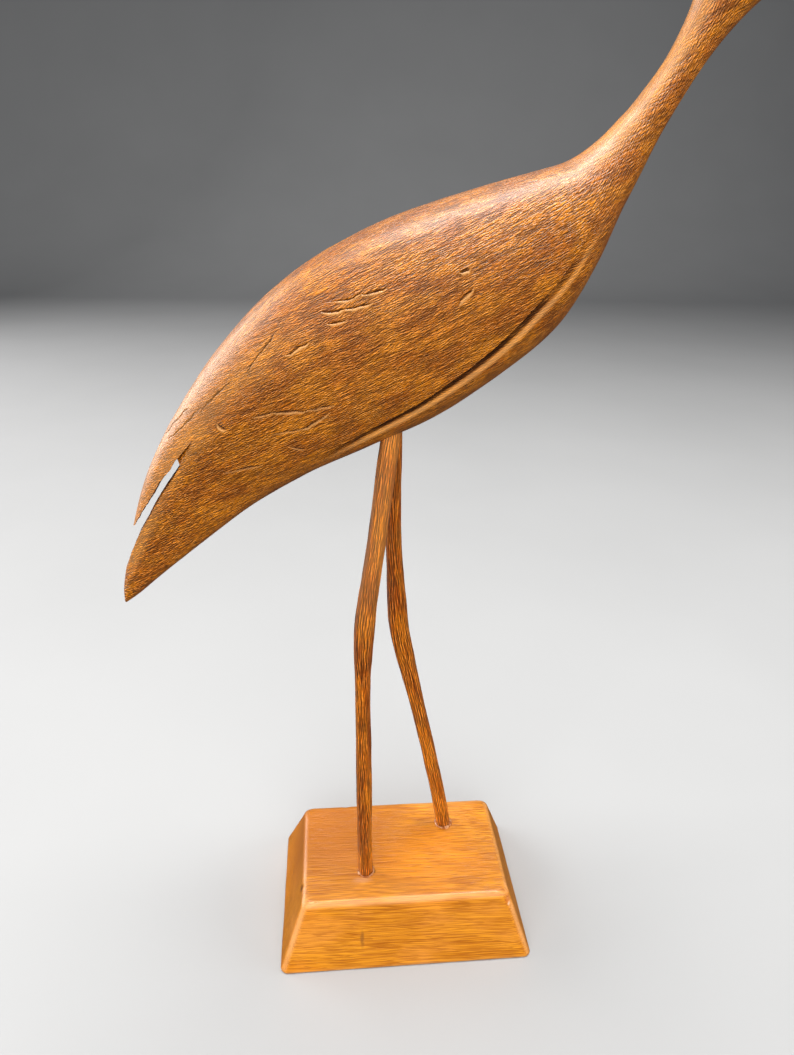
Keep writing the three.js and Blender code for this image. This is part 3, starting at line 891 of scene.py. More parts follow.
# %% Pore lines
def pore_lines_group():
    """Fine parallel waves along the fibres, 0 to 1, read from a place given as way along and way around, in metres."""
    group, start, stop = shader_group(
        "pore lines",
        [
            ("Skin place", "NodeSocketVector", None),
            ("Spacing", "NodeSocketFloat", 0.0006),
            ("Length", "NodeSocketFloat", 0.002),
            ("Wander", "NodeSocketFloat", 0.0016),
        ],
        [("Waves", "NodeSocketFloat")],
    )
    b = Bench(group)
    place = start.outputs["Skin place"]
    drift = b.vector("SUBTRACT", b.noise(place, 60.0, detail=2.0, fac=False), (0.5, 0.5, 0.5))
    drift = b.vector("SCALE", drift, scale=start.outputs["Wander"])
    size = b.tree.nodes.new("ShaderNodeCombineXYZ")
    b.put(size.inputs["X"], start.outputs["Length"])
    b.put(size.inputs["Y"], b.math("MULTIPLY", start.outputs["Spacing"], WAVES_PER_CELL))
    size.inputs["Z"].default_value = 1.0
    waves = b.tree.nodes.new("ShaderNodeTexGabor")
    b.put(waves.inputs["Vector"], b.vector("DIVIDE", b.vector("ADD", place, drift), size.outputs["Vector"]))
    waves.inputs["Scale"].default_value = 1.0
    waves.inputs["Frequency"].default_value = WAVES_PER_CELL
    waves.inputs["Anisotropy"].default_value = 0.9
    waves.inputs["Orientation"].default_value = math.pi / 2
    b.put(stop.inputs["Waves"], b.range(waves.outputs["Value"], 0.34, 0.66, smooth=False))
    return group


WAVES_PER_CELL = 1.2
pore_lines = pore_lines_group()
print("shader group", pore_lines.name, "with", len(pore_lines.nodes), "nodes")

# %% A material to start from
def paint(r, g, b):
    """A colour as seen on a screen, 0 to 255, turned into the linear values that shaders use."""
    def linear(v):
        v = v / 255
        return v / 12.92 if v <= 0.04045 else ((v + 0.055) / 1.055) ** 2.4

    return (linear(r), linear(g), linear(b), 1.0)


def new_finish(name):
    material = bpy.data.materials.new(name)
    material.use_nodes = True
    nodes = material.node_tree.nodes
    nodes.clear()
    shader = nodes.new("ShaderNodeBsdfPrincipled")
    output = nodes.new("ShaderNodeOutputMaterial")
    material.node_tree.links.new(shader.outputs["BSDF"], output.inputs["Surface"])
    coordinates = nodes.new("ShaderNodeTexCoord")
    return material, shader, coordinates.outputs["Object"], Bench(material.node_tree)


def attribute(b, name, output="Fac"):
    """A value that the mesh's points carry; it is 0 on a mesh that has none of that name."""
    node = b.tree.nodes.new("ShaderNodeAttribute")
    node.attribute_name = name
    return node.outputs[output]


def bump(b, height, distance, strength=1.0, under=None):
    node = b.tree.nodes.new("ShaderNodeBump")
    node.inputs["Distance"].default_value = distance
    node.inputs["Strength"].default_value = strength
    b.put(node.inputs["Height"], height)
    if under is not None:
        b.put(node.inputs["Normal"], under)
    return node.outputs["Normal"]


# %% [markdown]
# ## The dark oiled wood
#
# The bird is of an open-pored tropical wood, oiled and handled for decades. The fibres rise towards the head at a bit
# under 30 degrees, so on the flat side they are long parallel streaks, while on the rounded back the same fibres run
# with the outline. Between the streaks the wood is golden, in them it is brown with a touch of violet. The pores are
# open, dull and nearly black, and the oil leaves the rest satin, which makes the broad pale sheen along the back.

# %% Dark oiled wood
TAIL_ROUGH_FROM, TAIL_ROUGH_TO = -48.0, -72.0


def dark_wood(name, across, tones, line_width, line_length, wander, waves_as, contrast, runs_along=None):
    """Oiled wood. Tones are golden, brown, line, painted glint and patch; a second Across serves faces up and down.

    The fibres rise through the block, or follow the point values named by runs_along.
    """
    material, shader, place, b = new_finish(name)
    golden, brown, line_colour, glint_colour, patch_colour = tones
    if runs_along:
        fibres = attribute(b, runs_along, "Vector")
    else:
        fibres = b.place(place, turn=(0, FIBRE_RISE, 0))
    grains = [
        b.group(
            fibre_streaks, Place=fibres, Across=share, Line_width=line_width, Line_length=line_length,
            Coverage=0.75, Wander=wander,
        )
        for share in across
    ]
    grain = {label: grains[0][label] for label in ("Bands", "Lines", "Ridges", "Specks")}
    if len(grains) > 1:
        flank = attribute(b, "flank")
        for label in grain:
            grain[label] = b.mix_values(flank, grains[1][label], grains[0][label])
    spacing, wave_length, drift = waves_as
    skin_place = attribute(b, "skin_place", "Vector")
    waves = b.group(pore_lines, Skin_place=skin_place, Spacing=spacing, Length=wave_length, Wander=drift)
    waves = waves["Waves"]
    patches = b.noise(b.place(fibres, scale=(0.5, 1, 1)), 230.0, detail=3.0, roughness=0.65)
    patch = b.range(patches, 0.48, 0.64)
    colour = b.mix(b.range(grain["Bands"], 0.36, 0.64), brown, golden)
    colour = b.mix(b.math("MULTIPLY", patch, 0.28), colour, patch_colour)
    colour = b.vector("SCALE", colour, scale=b.range(grain["Ridges"], 0.0, 1.0, 0.8, 1.1, smooth=False))
    tail = b.tree.nodes.new("ShaderNodeSeparateXYZ")
    b.put(tail.inputs["Vector"], place)
    rough_tail = b.range(tail.outputs["X"], TAIL_ROUGH_FROM * MM, TAIL_ROUGH_TO * MM)
    depth_of_grain = b.mix_values(rough_tail, contrast, min(1.0, 1.5 * contrast))
    darker, paler = b.math("SUBTRACT", 1.0, depth_of_grain), b.math("MULTIPLY_ADD", depth_of_grain, 0.75, 1.0)
    colour = b.vector("SCALE", colour, scale=b.range(waves, 0.0, 1.0, darker, paler, smooth=False))
    # Painted glints: pale streaks on the crests of the pore lines.
    colour = b.mix(b.math("MULTIPLY", b.range(waves, 0.65, 1.0), 0.3), colour, glint_colour)
    colour = b.mix(b.math("MULTIPLY", grain["Lines"], 0.55), colour, line_colour)
    speck = b.range(grain["Specks"], 0.35, 0.65, b.mix_values(rough_tail, 0.78, 0.62), b.mix_values(rough_tail, 1.2, 1.4))
    colour = b.vector("SCALE", colour, scale=speck)
    height = b.math("MULTIPLY_ADD", grain["Ridges"], 0.6, b.math("MULTIPLY", waves, 0.75))
    height = b.math("SUBTRACT", height, b.math("MULTIPLY", grain["Lines"], 0.6))
    oil_and_shade, mark, rubbed = attribute(b, "hollow"), attribute(b, "mark"), attribute(b, "rubbed")
    # Painted dark in the wing line and deep in the cuts: old oil and painted shade.
    colour = b.mix(b.math("MULTIPLY", oil_and_shade, 0.95), colour, paint(38, 16, 5))
    # Painted shade in the marks.
    colour = b.mix(b.math("MULTIPLY", mark, 0.9), colour, paint(50, 22, 8))
    # Painted highlight and sheen: pale on the lips of the cut and the marks and on the upper neck and wing tip, and
    # painted light on the near leg towards the hip. The bump is smoothed there too.
    colour = b.mix(b.math("MULTIPLY", rubbed, 0.8), colour, paint(240, 176, 104))
    rough = b.range(grain["Lines"], 0.0, 1.0, 0.42, 0.62, smooth=False)
    b.put(shader.inputs["Base Color"], colour)
    b.put(shader.inputs["Roughness"], b.math("ADD", rough, b.math("MULTIPLY", oil_and_shade, 0.25)))
    b.put(shader.inputs["Coat Weight"], b.range(b.math("MAXIMUM", oil_and_shade, mark), 0.0, 1.0, 0.6, 0.0))
    shader.inputs["IOR"].default_value = 1.5
    shader.inputs["Specular IOR Level"].default_value = 0.8
    shader.inputs["Coat Roughness"].default_value = 0.38
    bump_kept = b.math("MULTIPLY_ADD", rubbed, -2.2, 1.0, clamp=True)
    b.put(shader.inputs["Normal"], bump(b, b.math("MULTIPLY", height, bump_kept), 0.00013, 1.0))
    return material


# Faces of the bird that look sideways use the first share, the back and the belly the second.
bird_wood = dark_wood(
    "oiled_dark_wood", ((1.0, 0.25, 1.0), (1.0, 1.0, 0.25)),
    (paint(203, 121, 15), paint(178, 98, 11), paint(76, 34, 8), paint(246, 182, 108), paint(116, 60, 22)),
    0.0004, 0.0065, 0.35, (0.0005, 0.0009, 0.0016), contrast=0.8,
)
leg_wood = dark_wood(
    "oiled_leg_wood", ((1.0, 1.0, 1.0),),
    (paint(214, 120, 16), paint(178, 86, 8), paint(64, 25, 4), paint(250, 176, 88), paint(128, 54, 8)),
    0.0004, 0.011, 0.12, (0.0006, 0.0035, 0.0005), contrast=0.9, runs_along="along_leg",
)
print("finishes", bird_wood.name, leg_wood.name)

# %% Whittle both legs
section_curve = curve_from("leg_section", [(x / MM, y / MM, 0) for x, y in whittled_section()], closed=True)
stick = whittling_tree()


def tell_length(leg, path):
    """Gives each point its distance along the leg and its two distances from the middle, so that grain can follow."""
    gone = np.concatenate([[0], np.cumsum(np.linalg.norm(np.diff(path[:, :3], axis=0), axis=1))])
    places = np.array([v.co[:] for v in leg.data.vertices]) / MM
    middle = [np.interp(places[:, 2], path[:, 2], path[:, k]) for k in (0, 1)]
    along = np.interp(places[:, 2], path[:, 2], gone)
    values = np.stack([along + 40 * places[0, 1], places[:, 0] - middle[0], places[:, 1] - middle[1]], axis=1) * MM
    leg.data.attributes.new("along_leg", "FLOAT_VECTOR", "POINT").data.foreach_set("vector", values.ravel())
    around = np.abs(np.arctan2(values[:, 2], values[:, 1])) * 2.4 * MM
    layer = leg.data.attributes.new("skin_place", "FLOAT_VECTOR", "POINT")
    layer.data.foreach_set("vector", np.stack([values[:, 0], around, 0 * around], axis=-1).ravel())
    # Painted light: the near leg is painted paler towards the hip, against the shade of the body above it.
    near_hip = smoothstep(places[:, 2], 110, 150) * (places[0, 1] < 0)
    leg.data.attributes.new("rubbed", "FLOAT", "POINT").data.foreach_set("value", 0.22 * near_hip)


def whittle(name, bends):
    path = leg_path(bends)
    maker = curve_from(name + "_path", path[:, :3], radii=path[:, 3] / 2 * MM)
    modifier = maker.modifiers.new("whittling", "NODES")
    modifier.node_group = stick
    set_inputs(modifier, {"Section": section_curve, "Knife swell": 0.00012, "Stroke length": 0.011, "Wood": leg_wood})
    stick_mesh = plain_mesh(name, maker)
    tell_length(stick_mesh, path)
    return stick_mesh


near_leg = whittle("near_leg_stick", NEAR_LEG)
far_leg = whittle("far_leg_stick", FAR_LEG)
for leg in (near_leg, far_leg):
    low = min(v.co.z for v in leg.data.vertices) / MM
    high = max(v.co.z for v in leg.data.vertices) / MM
    print(leg.name, len(leg.data.polygons), "faces, from", round(low, 1), "to", round(high, 1), "mm up")

# %% [markdown]
# ## Making the cuts
#
# The sockets for the legs are cut with the legs themselves, a twelfth of a millimetre fuller, so that the sticks fill
# their holes without touching the walls. Each stick goes into its hole for a few millimetres, in the belly and in the
# base, because a carver drills there and glues the end in.

# %% Boolean cuts
SOCKET_PLAY = 0.08


def swollen_copy(piece, play_mm, name):
    """A copy with its skin moved out, as the shape of the hole that the piece goes into.

    Its own point values are taken off, or the cut would hand them on to the piece it is made in.
    """
    mesh = piece.data.copy()
    for label in ("along_leg", "skin_place", "rubbed"):
        mesh.attributes.remove(mesh.attributes[label])
    normals = np.array([v.normal[:] for v in mesh.vertices])
    places = np.array([v.co[:] for v in mesh.vertices]) + normals * play_mm * MM
    mesh.vertices.foreach_set("co", places.ravel())
    mesh.update()
    copy = bpy.data.objects.new(name, mesh)
    bpy.context.scene.collection.objects.link(copy)
    return copy


def cut_with(piece, tools):
    """Takes each tool away from the piece, and leaves a plain mesh."""
    for tool in tools:
        modifier = piece.modifiers.new("cut", "BOOLEAN")
        modifier.operation, modifier.solver, modifier.object = "DIFFERENCE", "MANIFOLD", tool
    bpy.context.view_layer.update()
    mesh = bpy.data.meshes.new_from_object(piece.evaluated_get(bpy.context.evaluated_depsgraph_get()))
    piece.modifiers.clear()
    old = piece.data
    piece.data = mesh
    mesh.name = piece.name
    bpy.data.meshes.remove(old)
    for tool in tools:
        bpy.data.objects.remove(tool)
    return piece


holes = {leg.name: swollen_copy(leg, SOCKET_PLAY, leg.name + "_hole") for leg in (near_leg, far_leg)}
base_holes = [swollen_copy(leg, SOCKET_PLAY, leg.name + "_foot_hole") for leg in (near_leg, far_leg)]
before = len(bird.data.polygons)
cut_with(bird, [slit_tool(), crack_tool(), *holes.values()])
print("bird", before, "faces before the cuts and", len(bird.data.polygons), "after")


# %% Carry what the skin's points know over to the cut mesh
def remember(piece, known_places, known_values):
    """Gives the piece's points the values of the nearest known point; a cut wall has none but painted shade deep in it.
    """
    tree = kdtree.KDTree(len(known_places))
    for k, point in enumerate(known_places):
        tree.insert(point, k)
    tree.balance()
    places = np.array([v.co[:] for v in piece.data.vertices]) / MM
    found = [tree.find(p)[1:] for p in places]
    nearest, distance = np.array([k for k, _ in found]), np.array([d for _, d in found])
    on_wall = distance > 0.25
    # Painted shade on the walls of the slit and the crack: darker further from the skin, and darker in the crack.
    wall_shade = smoothstep(distance, 0.3, 3.0) * np.where(places[:, 2] > CRACK_STARTS, 0.3, 0.12)
    for name, values in known_values.items():
        kept = np.where(on_wall, wall_shade if name == "hollow" else 0, values[nearest])
        piece.data.attributes.new(name, "FLOAT", "POINT").data.foreach_set("value", kept.astype(np.float32))
        print(name, "share of the skin above one half:", round(float(np.mean(kept > 0.5)), 4))


CRACK_STARTS = 177.6
cut_tree = kdtree.KDTree(body_grid.shape[0] * body_grid.shape[1])
for k, point in enumerate(body_grid.reshape(-1, 3)):
    cut_tree.insert(point, k)
cut_tree.balance()
nearest_of_grid = np.array([cut_tree.find(p)[1] for p in skin_places])


def tell_skin_place(piece, places):
    """Gives each point its place in the grain: the way along the fibres and the way around across them."""
    layer = piece.data.attributes.new("skin_place", "FLOAT_VECTOR", "POINT")
    layer.data.foreach_set("vector", (np.asarray(places) * MM).astype(np.float32).ravel())


bird_points = np.array([v.co[:] for v in bird.data.vertices]) / MM
nearest = np.array([cut_tree.find(p)[1] for p in bird_points])
moved = bird_points - body_grid.reshape(-1, 3)[nearest]
moved_uphill = np.stack([moved[:, 1], moved @ ABOVE_FIBRES], axis=-1) * grid_uphill.reshape(-1, 2)[nearest]
turned = grid_turn.reshape(-1, 2)[nearest]
bird_way = grid_way.ravel()[nearest] + moved_uphill.sum(axis=1) + turned[:, 1]
tell_skin_place(bird, np.stack([bird_points @ ALONG_FIBRES + turned[:, 0], bird_way, 0 * bird_way], axis=-1))
oil_and_shade_share = cut_oil_and_shade.ravel()[nearest_of_grid]
painted_lips_and_sheen = np.maximum(painted_lips_and_sheen, cut_lip_and_sheen.ravel()[nearest_of_grid])
flank_share = smoothstep(np.abs(outward[..., 1]), 0.45, 0.75).ravel()[nearest_of_grid]
remember(
    bird, skin_places, {"hollow": oil_and_shade_share, "mark": mark_share, "rubbed": painted_lips_and_sheen, "flank": flank_share}
)

# %% [markdown]
# ## The base
#
# The base is sawn from a lighter board, with all four sides sloping and the upper edges rounded over with sandpaper.
# It is built as closed outlines stacked from the underside to the middle of the top, close together over the rounded
# edge. That gives points enough to press the bruised corner, the nick and a slow sanded swell into the mesh, and to
# carry a pale tint along the arrises: wear at the corners and the foot, and wear with a painted highlight along the
# rounded upper edge.

# %% Outline rings of the base
BASE_LENGTH, BASE_DEPTH, BASE_HEIGHT, BASE_LEAN = 88.0, 59.5, 23.3, 8.3
EDGE_RADIUS, CORNER_RADIUS, FOOT_EASE = 2.6, 2.6, 0.6


def base_ring(z, inset, radius, step=0.85, corner_points=7):
    """One closed outline of the block at a height, moved in from the foot by the inset."""
    half_x, half_y = BASE_LENGTH / 2 - inset, BASE_DEPTH / 2 - inset
    long_x = int(round(BASE_LENGTH * 0.9 / step))
    long_y = int(round(BASE_DEPTH * 0.9 / step))
    radius = min(radius, half_x, half_y)
    corners = [(half_x - radius, half_y - radius, 0), (radius - half_x, half_y - radius, 90),
               (radius - half_x, radius - half_y, 180), (half_x - radius, radius - half_y, 270)]
    points = []
    for k, (cx, cy, start) in enumerate(corners):
        for turn in np.linspace(start, start + 90, corner_points):
            points.append((cx + radius * math.cos(math.radians(turn)), cy + radius * math.sin(math.radians(turn))))
        nx, ny, nstart = corners[(k + 1) % 4]
        begin = np.array(points[-1])
        end = np.array([nx + radius * math.cos(math.radians(nstart)), ny + radius * math.sin(math.radians(nstart))])
        count = long_x if k in (0, 2) else long_y
        points += [tuple(begin + (end - begin) * j / count) for j in range(1, count)]
    return [(x, y, z) for x, y in points]


def base_rings():
    slope = BASE_LEAN / BASE_HEIGHT
    lean = math.atan(slope)
    r = EDGE_RADIUS
    middle_inset = BASE_LEAN + r * math.tan((math.pi / 2 - lean) / 2)
    foot_inset = FOOT_EASE * slope
    rings = [base_ring(0, inset, 1.2) for inset in (27.0, 20.0, 12.0, 6.0, 3.0, 1.4)]
    for turn in np.linspace(0, 1, 4):
        angle = turn * math.pi / 2
        inset = foot_inset + (FOOT_EASE - foot_inset) * (1 - math.sin(angle))
        rings.append(base_ring(FOOT_EASE * (1 - math.cos(angle)), inset, CORNER_RADIUS))
    top_of_side = BASE_HEIGHT - r + r * math.sin(lean)
    rings += [base_ring(z, z * slope, CORNER_RADIUS) for z in np.linspace(1.4, top_of_side - 0.3, 24)]
    for turn in np.linspace(lean, math.pi / 2, 12):
        share = (turn - lean) / (math.pi / 2 - lean)
        rings.append(base_ring(
            BASE_HEIGHT - r + r * math.sin(turn), middle_inset - r * math.cos(turn), CORNER_RADIUS + r * share
        ))
    last_inset = middle_inset
    while last_inset < BASE_DEPTH / 2 - 2.2:
        last_inset += 0.9
        rings.append(base_ring(BASE_HEIGHT, last_inset, max(0.6, CORNER_RADIUS + r - (last_inset - middle_inset))))
    return np.array(rings)


base_grid = base_rings()
print("base rings", base_grid.shape)

# %% Bruises, nick and hand sanding of the base
# x, y, z, radius across, depth, in millimetres
BRUISES = [
    (35.6, -21.9, 20.9, 1.5, 0.45),
    (36.4, -22.9, 18.6, 1.0, 0.30),
    (34.2, -21.6, 22.4, 0.9, 0.22),
    (-36.4, -12.8, 21.6, 0.9, 0.55),
    (-36.9, -14.6, 20.4, 0.7, 0.30),
    (-41.2, 4.0, 9.0, 1.1, 0.22),
    (40.8, 10.0, 10.5, 1.3, 0.22),
    (-20.0, 21.8, 22.6, 1.2, 0.25),
    (12.0, 27.8, 6.0, 1.6, 0.16),
]


def press_base(grid):
    rows = grid.copy()
    outward = grid_normals(grid)
    if np.sum(outward[15] * (grid[15] - np.array([0, 0, grid[15, 0, 2]]))) < 0:
        outward = -outward
    flat = grid.reshape(-1, 3)
    swell = np.array([noise.noise(Vector(p * 0.07 + 11.0)) for p in flat]).reshape(grid.shape[:2]) * 0.16
    sanded = np.array([noise.noise(Vector(p * 0.35 + 4.0)) for p in flat]).reshape(grid.shape[:2]) * 0.025
    depth = (swell + sanded) * (grid[..., 2] > 0.5) + 0.03
    for x, y, z, radius, deep in BRUISES:
        away = np.linalg.norm(grid - np.array([x, y, z]), axis=-1)
        ragged = np.array([noise.noise(Vector(p * 1.4)) for p in flat]).reshape(grid.shape[:2])
        depth = depth + deep * np.exp(-((away / radius) ** 2)) * (1 + 0.8 * ragged)
    depth[:6] = 0
    return rows - outward * np.maximum(depth, 0)[..., None]


block = close_rings("sloped_base", press_base(base_grid))
cut_with(block, base_holes)
print("base block", len(block.data.polygons), "faces")


# %% Where the arrises are worn and carry a painted highlight
def arris_wear_and_highlight(points_mm):
    """How near each point is to an arris: the rounded upper edge, a sloping corner or the foot's edge."""
    x, y, z = np.abs(points_mm[:, 0]), np.abs(points_mm[:, 1]), points_mm[:, 2]
    slope = BASE_LEAN / BASE_HEIGHT
    turn = (math.atan(slope) + math.pi / 2) / 2
    edge_height = BASE_HEIGHT - EDGE_RADIUS + EDGE_RADIUS * math.sin(turn)
    reach = EDGE_RADIUS * math.tan((math.pi / 2 - math.atan(slope)) / 2)
    edge_inset = BASE_LEAN + reach - EDGE_RADIUS * math.cos(turn)
    inset = np.minimum(BASE_LENGTH / 2 - x, BASE_DEPTH / 2 - y)
    upper = np.exp(-((np.hypot(z - edge_height, inset - edge_inset) / 0.95) ** 2))
    to_corner = np.hypot(BASE_LENGTH / 2 - z * slope - x, BASE_DEPTH / 2 - z * slope - y)
    corner = np.exp(-(((to_corner - 0.41 * CORNER_RADIUS) / 0.55) ** 2))
    foot = np.exp(-((z / 0.8) ** 2)) * (inset < 1.5)
    return np.maximum(upper, np.maximum(0.8 * corner, 0.7 * foot))


# A pale tint on the arrises: wear at the corners and the foot, and wear with a painted highlight along the rounded
# upper edge.
worn = arris_wear_and_highlight(np.array([v.co[:] for v in block.data.vertices]) / MM)
block.data.attributes.new("worn", "FLOAT", "POINT").data.foreach_set("value", worn)
print("share of the base's points on a rubbed arris:", round(float(np.mean(worn > 0.5)), 2))

# %% [markdown]
# ## The honey-coloured base finish
#
# The base is a pale, even board under a clear lacquer that has gone honey-coloured. It has narrow grain lines along
# its length, a blotchy tone where the finish was wiped on, and the same lines end on the short faces as dots and
# faint bands. The lacquer is smooth, so it shows the light as a narrow pale line along the rounded edge, and a pale
# tint on the arrises adds wear and a painted highlight to it. A broad painted shadow darkens the left of the top,
# where the bird's body shades it.

# %% Honey finish
def honey_wood(name):
    material, shader, place, b = new_finish(name)
    fibres = b.place(place, turn=(0.02, math.radians(-1.2), math.radians(1.5)))
    grain = b.group(
        fibre_streaks, Place=fibres, Line_width=0.00027, Line_length=0.013, Coverage=0.3, Wander=0.3
    )
    blotches = b.noise(b.place(place, scale=(0.6, 1, 1)), 62.0, detail=3.0, roughness=0.55)
    clouds = b.noise(b.place(place, scale=(0.5, 1, 1), shift=(0.3, 0.1, 0)), 30.0, detail=2.0)
    bands = b.range(grain["Bands"], 0.35, 0.65)
    tone = b.math("ADD", b.math("MULTIPLY", bands, 0.25), b.math("MULTIPLY", grain["Ridges"], 0.75))
    colour = b.mix(tone, paint(176, 100, 16), paint(230, 150, 36))
    colour = b.mix(b.math("MULTIPLY", b.range(blotches, 0.48, 0.68), 0.5), colour, paint(230, 148, 60))
    colour = b.mix(b.math("MULTIPLY", b.range(clouds, 0.50, 0.66), 0.45), colour, paint(240, 142, 10))
    colour = b.mix(b.math("MULTIPLY", grain["Lines"], 0.48), colour, paint(150, 78, 16))
    # Pale arrises: wear, and along the rounded upper edge a painted highlight.
    worn = b.math("MULTIPLY", attribute(b, "worn"), b.range(blotches, 0.35, 0.6, 0.5, 1.0))
    colour = b.mix(b.math("MULTIPLY", worn, 0.5), colour, paint(246, 188, 132))
    for x, y, z, reach_x, reach_yz, share, tint in (
        # Painted shadow: a broad darker tone over the left of the top, where the bird's body shades it.
        (-26.0, 9.0, 23.3, 38.0, 28.0, 0.8, paint(176, 100, 24)),
        (-15.6, -26.0, 10.6, 1.0, 4.2, 0.55, paint(112, 66, 34)),
        (9.6, 11.2, 23.3, 6.0, 2.4, 0.30, paint(136, 84, 36)),
        (-15.0, -12.7, 23.3, 4.6, 1.8, 0.42, paint(224, 166, 124)),
        (-36.6, -12.8, 21.3, 1.0, 1.9, 0.85, paint(70, 40, 20)),
        (35.6, -22.3, 20.9, 2.2, 2.4, 0.5, paint(176, 84, 36)),
        (35.6, -22.3, 21.1, 1.2, 1.0, 0.85, paint(255, 214, 184)),
        (36.0, -22.8, 19.4, 0.9, 1.3, 0.8, paint(250, 204, 170)),
        (-10.5, -9.5, 23.3, 0.5, 0.9, 0.75, paint(86, 46, 22)),
    ):
        rel = b.vector("SUBTRACT", place, (x * MM, y * MM, z * MM))
        ragged = b.vector("SCALE", b.vector("SUBTRACT", b.noise(place, 900.0, fac=False), (0.5, 0.5, 0.5)), scale=0.0012)
        rel = b.vector("DIVIDE", b.vector("ADD", rel, ragged), (reach_x * MM, reach_yz * MM, reach_yz * MM))
        spot = b.range(b.vector("LENGTH", rel), 0.3, 1.0, share, 0.0)
        colour = b.mix(spot, colour, tint)
    height = b.math("SUBTRACT", b.math("MULTIPLY", grain["Ridges"], 0.5), b.math("MULTIPLY", grain["Lines"], 0.7))
    b.put(shader.inputs["Base Color"], colour)
    b.put(shader.inputs["Roughness"], b.range(blotches, 0.3, 0.7, 0.34, 0.42, smooth=False))
    shader.inputs["IOR"].default_value = 1.5
    shader.inputs["Coat Weight"].default_value = 0.35
    shader.inputs["Coat Roughness"].default_value = 0.2
    b.put(shader.inputs["Normal"], bump(b, height, 0.00008, 0.6))
    return material


base_finish = honey_wood("honey_lacquered_wood")

# %% [markdown]
# ## Glue at the feet
#
# Where the legs go into the base, a little glue was pressed out and left: a thin ring, thicker on one side, that dried
# clear with a pale rim. A ring follows a path round the foot, so Geometry Nodes sweep a small bead along it, and a
# noise makes the bead swell and nearly vanish.

# %% The glue bead tree
def bead_tree():
    tree, start, stop = named_tree(
        "glue_bead",
        [
            ("Bead size", "NodeSocketFloat", 0.0006),
            ("Seed", "NodeSocketFloat", 3.0),
            ("Glue", "NodeSocketMaterial", None),
        ],
    )
    new, link = tree.nodes.new, tree.links.new
    place = new("GeometryNodeInputPosition")
    waves = new("ShaderNodeTexNoise")
    waves.noise_dimensions = "4D"
    waves.inputs["Scale"].default_value = 420.0
    waves.inputs["Detail"].default_value = 1.0
    link(place.outputs["Position"], waves.inputs["Vector"])
    link(start.outputs["Seed"], waves.inputs["W"])
    spread = new("ShaderNodeMapRange")
    spread.inputs["From Min"].default_value = 0.35
    spread.inputs["From Max"].default_value = 0.65
    spread.inputs["To Min"].default_value = 0.55
    spread.inputs["To Max"].default_value = 1.3
    link(waves.outputs["Fac"], spread.inputs["Value"])
    size = new("ShaderNodeMath")
    size.operation = "MULTIPLY"
    link(spread.outputs["Result"], size.inputs[0])
    link(start.outputs["Bead size"], size.inputs[1])
    bead = new("GeometryNodeCurvePrimitiveCircle")
    bead.inputs["Resolution"].default_value = 12
    bead.inputs["Radius"].default_value = 1.0
    sweep = new("GeometryNodeCurveToMesh")
    link(start.outputs["Geometry"], sweep.inputs["Curve"])
    link(bead.outputs["Curve"], sweep.inputs["Profile Curve"])
    link(size.outputs[0], sweep.inputs["Scale"])
    real = new("GeometryNodeRealizeInstances")
    link(sweep.outputs["Mesh"], real.inputs["Geometry"])
    finish = new("GeometryNodeSetMaterial")
    link(real.outputs["Geometry"], finish.inputs["Geometry"])
    link(start.outputs["Glue"], finish.inputs["Material"])
    link(finish.outputs["Geometry"], stop.inputs["Geometry"])
    return tree


# %% Glue finish
def glue_finish():
    material, shader, place, b = new_finish("dried_glue")
    cloud = b.range(b.noise(place, 900.0, detail=3.0), 0.38, 0.66)
    b.put(shader.inputs["Base Color"], b.mix(cloud, paint(150, 84, 40), paint(206, 150, 104)))
    b.put(shader.inputs["Roughness"], b.range(cloud, 0, 1, 0.2, 0.45, smooth=False))
    shader.inputs["IOR"].default_value = 1.46
    shader.inputs["Coat Weight"].default_value = 0.5
    b.put(shader.inputs["Normal"], bump(b, b.noise(place, 1500.0, detail=2.0), 0.0001, 0.4))
    return material


dried_glue = glue_finish()
bead = bead_tree()


def glue_round(name, bends, size_mm, seed):
    """A bead that lies on the base, round the foot of the leg at the first row of its bends."""
    x, y, z, width = bends[0]
    turns = np.linspace(0, 2 * math.pi, 49)[:-1]
    reach = width / 2 + 0.12
    ring = [(x + reach * math.cos(t), y + reach * math.sin(t), z + 0.1) for t in turns]
    maker = curve_from(name + "_path", ring, closed=True)
    modifier = maker.modifiers.new("bead", "NODES")
    modifier.node_group = bead
    set_inputs(modifier, {"Bead size": size_mm * MM, "Seed": seed, "Glue": dried_glue})
    return plain_mesh(name, maker)


near_glue = glue_round("near_foot_glue", NEAR_LEG, 0.42, 3.0)
far_glue = glue_round("far_foot_glue", FAR_LEG, 0.52, 8.0)
print("glue beads", len(near_glue.data.polygons), len(far_glue.data.polygons), "faces")

# %% [markdown]
# ## Giving each piece its finish and its place
#
# Smooth shading follows the carved form, but a sawn edge has to stay an edge, so edges that turn by more than a set
# angle are marked sharp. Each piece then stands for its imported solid.

# %% Shade, dress and join to the frame
def dress(piece, material, sharp_degrees):
    piece.data.materials.clear()
    piece.data.materials.append(material)
    for polygon in piece.data.polygons:
        polygon.material_index = 0
    piece.data.shade_smooth()
    piece.data.set_sharp_from_angle(angle=math.radians(sharp_degrees))


bpy.data.objects.remove(section_curve)
for piece, material, node, slot, sharp in (
    (bird, bird_wood, "bird", "dark_wood", 38),
    (near_leg, leg_wood, "near_leg", "dark_wood", 45),
    (far_leg, leg_wood, "far_leg", "dark_wood", 45),
    (block, base_finish, "base", "base_wood", 50),
):
    dress(piece, material, sharp)
    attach(piece, "root")
    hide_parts(node)
for piece in (near_glue, far_glue):
    dress(piece, dried_glue, 60)
    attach(piece, "root")

# %% [markdown]
# ## Floor and light
#
# The room in the picture has one large soft light high up, a little behind the bird and to the left, which lays a
# broad pale sheen along the back, and weaker light from the front that keeps the side readable.

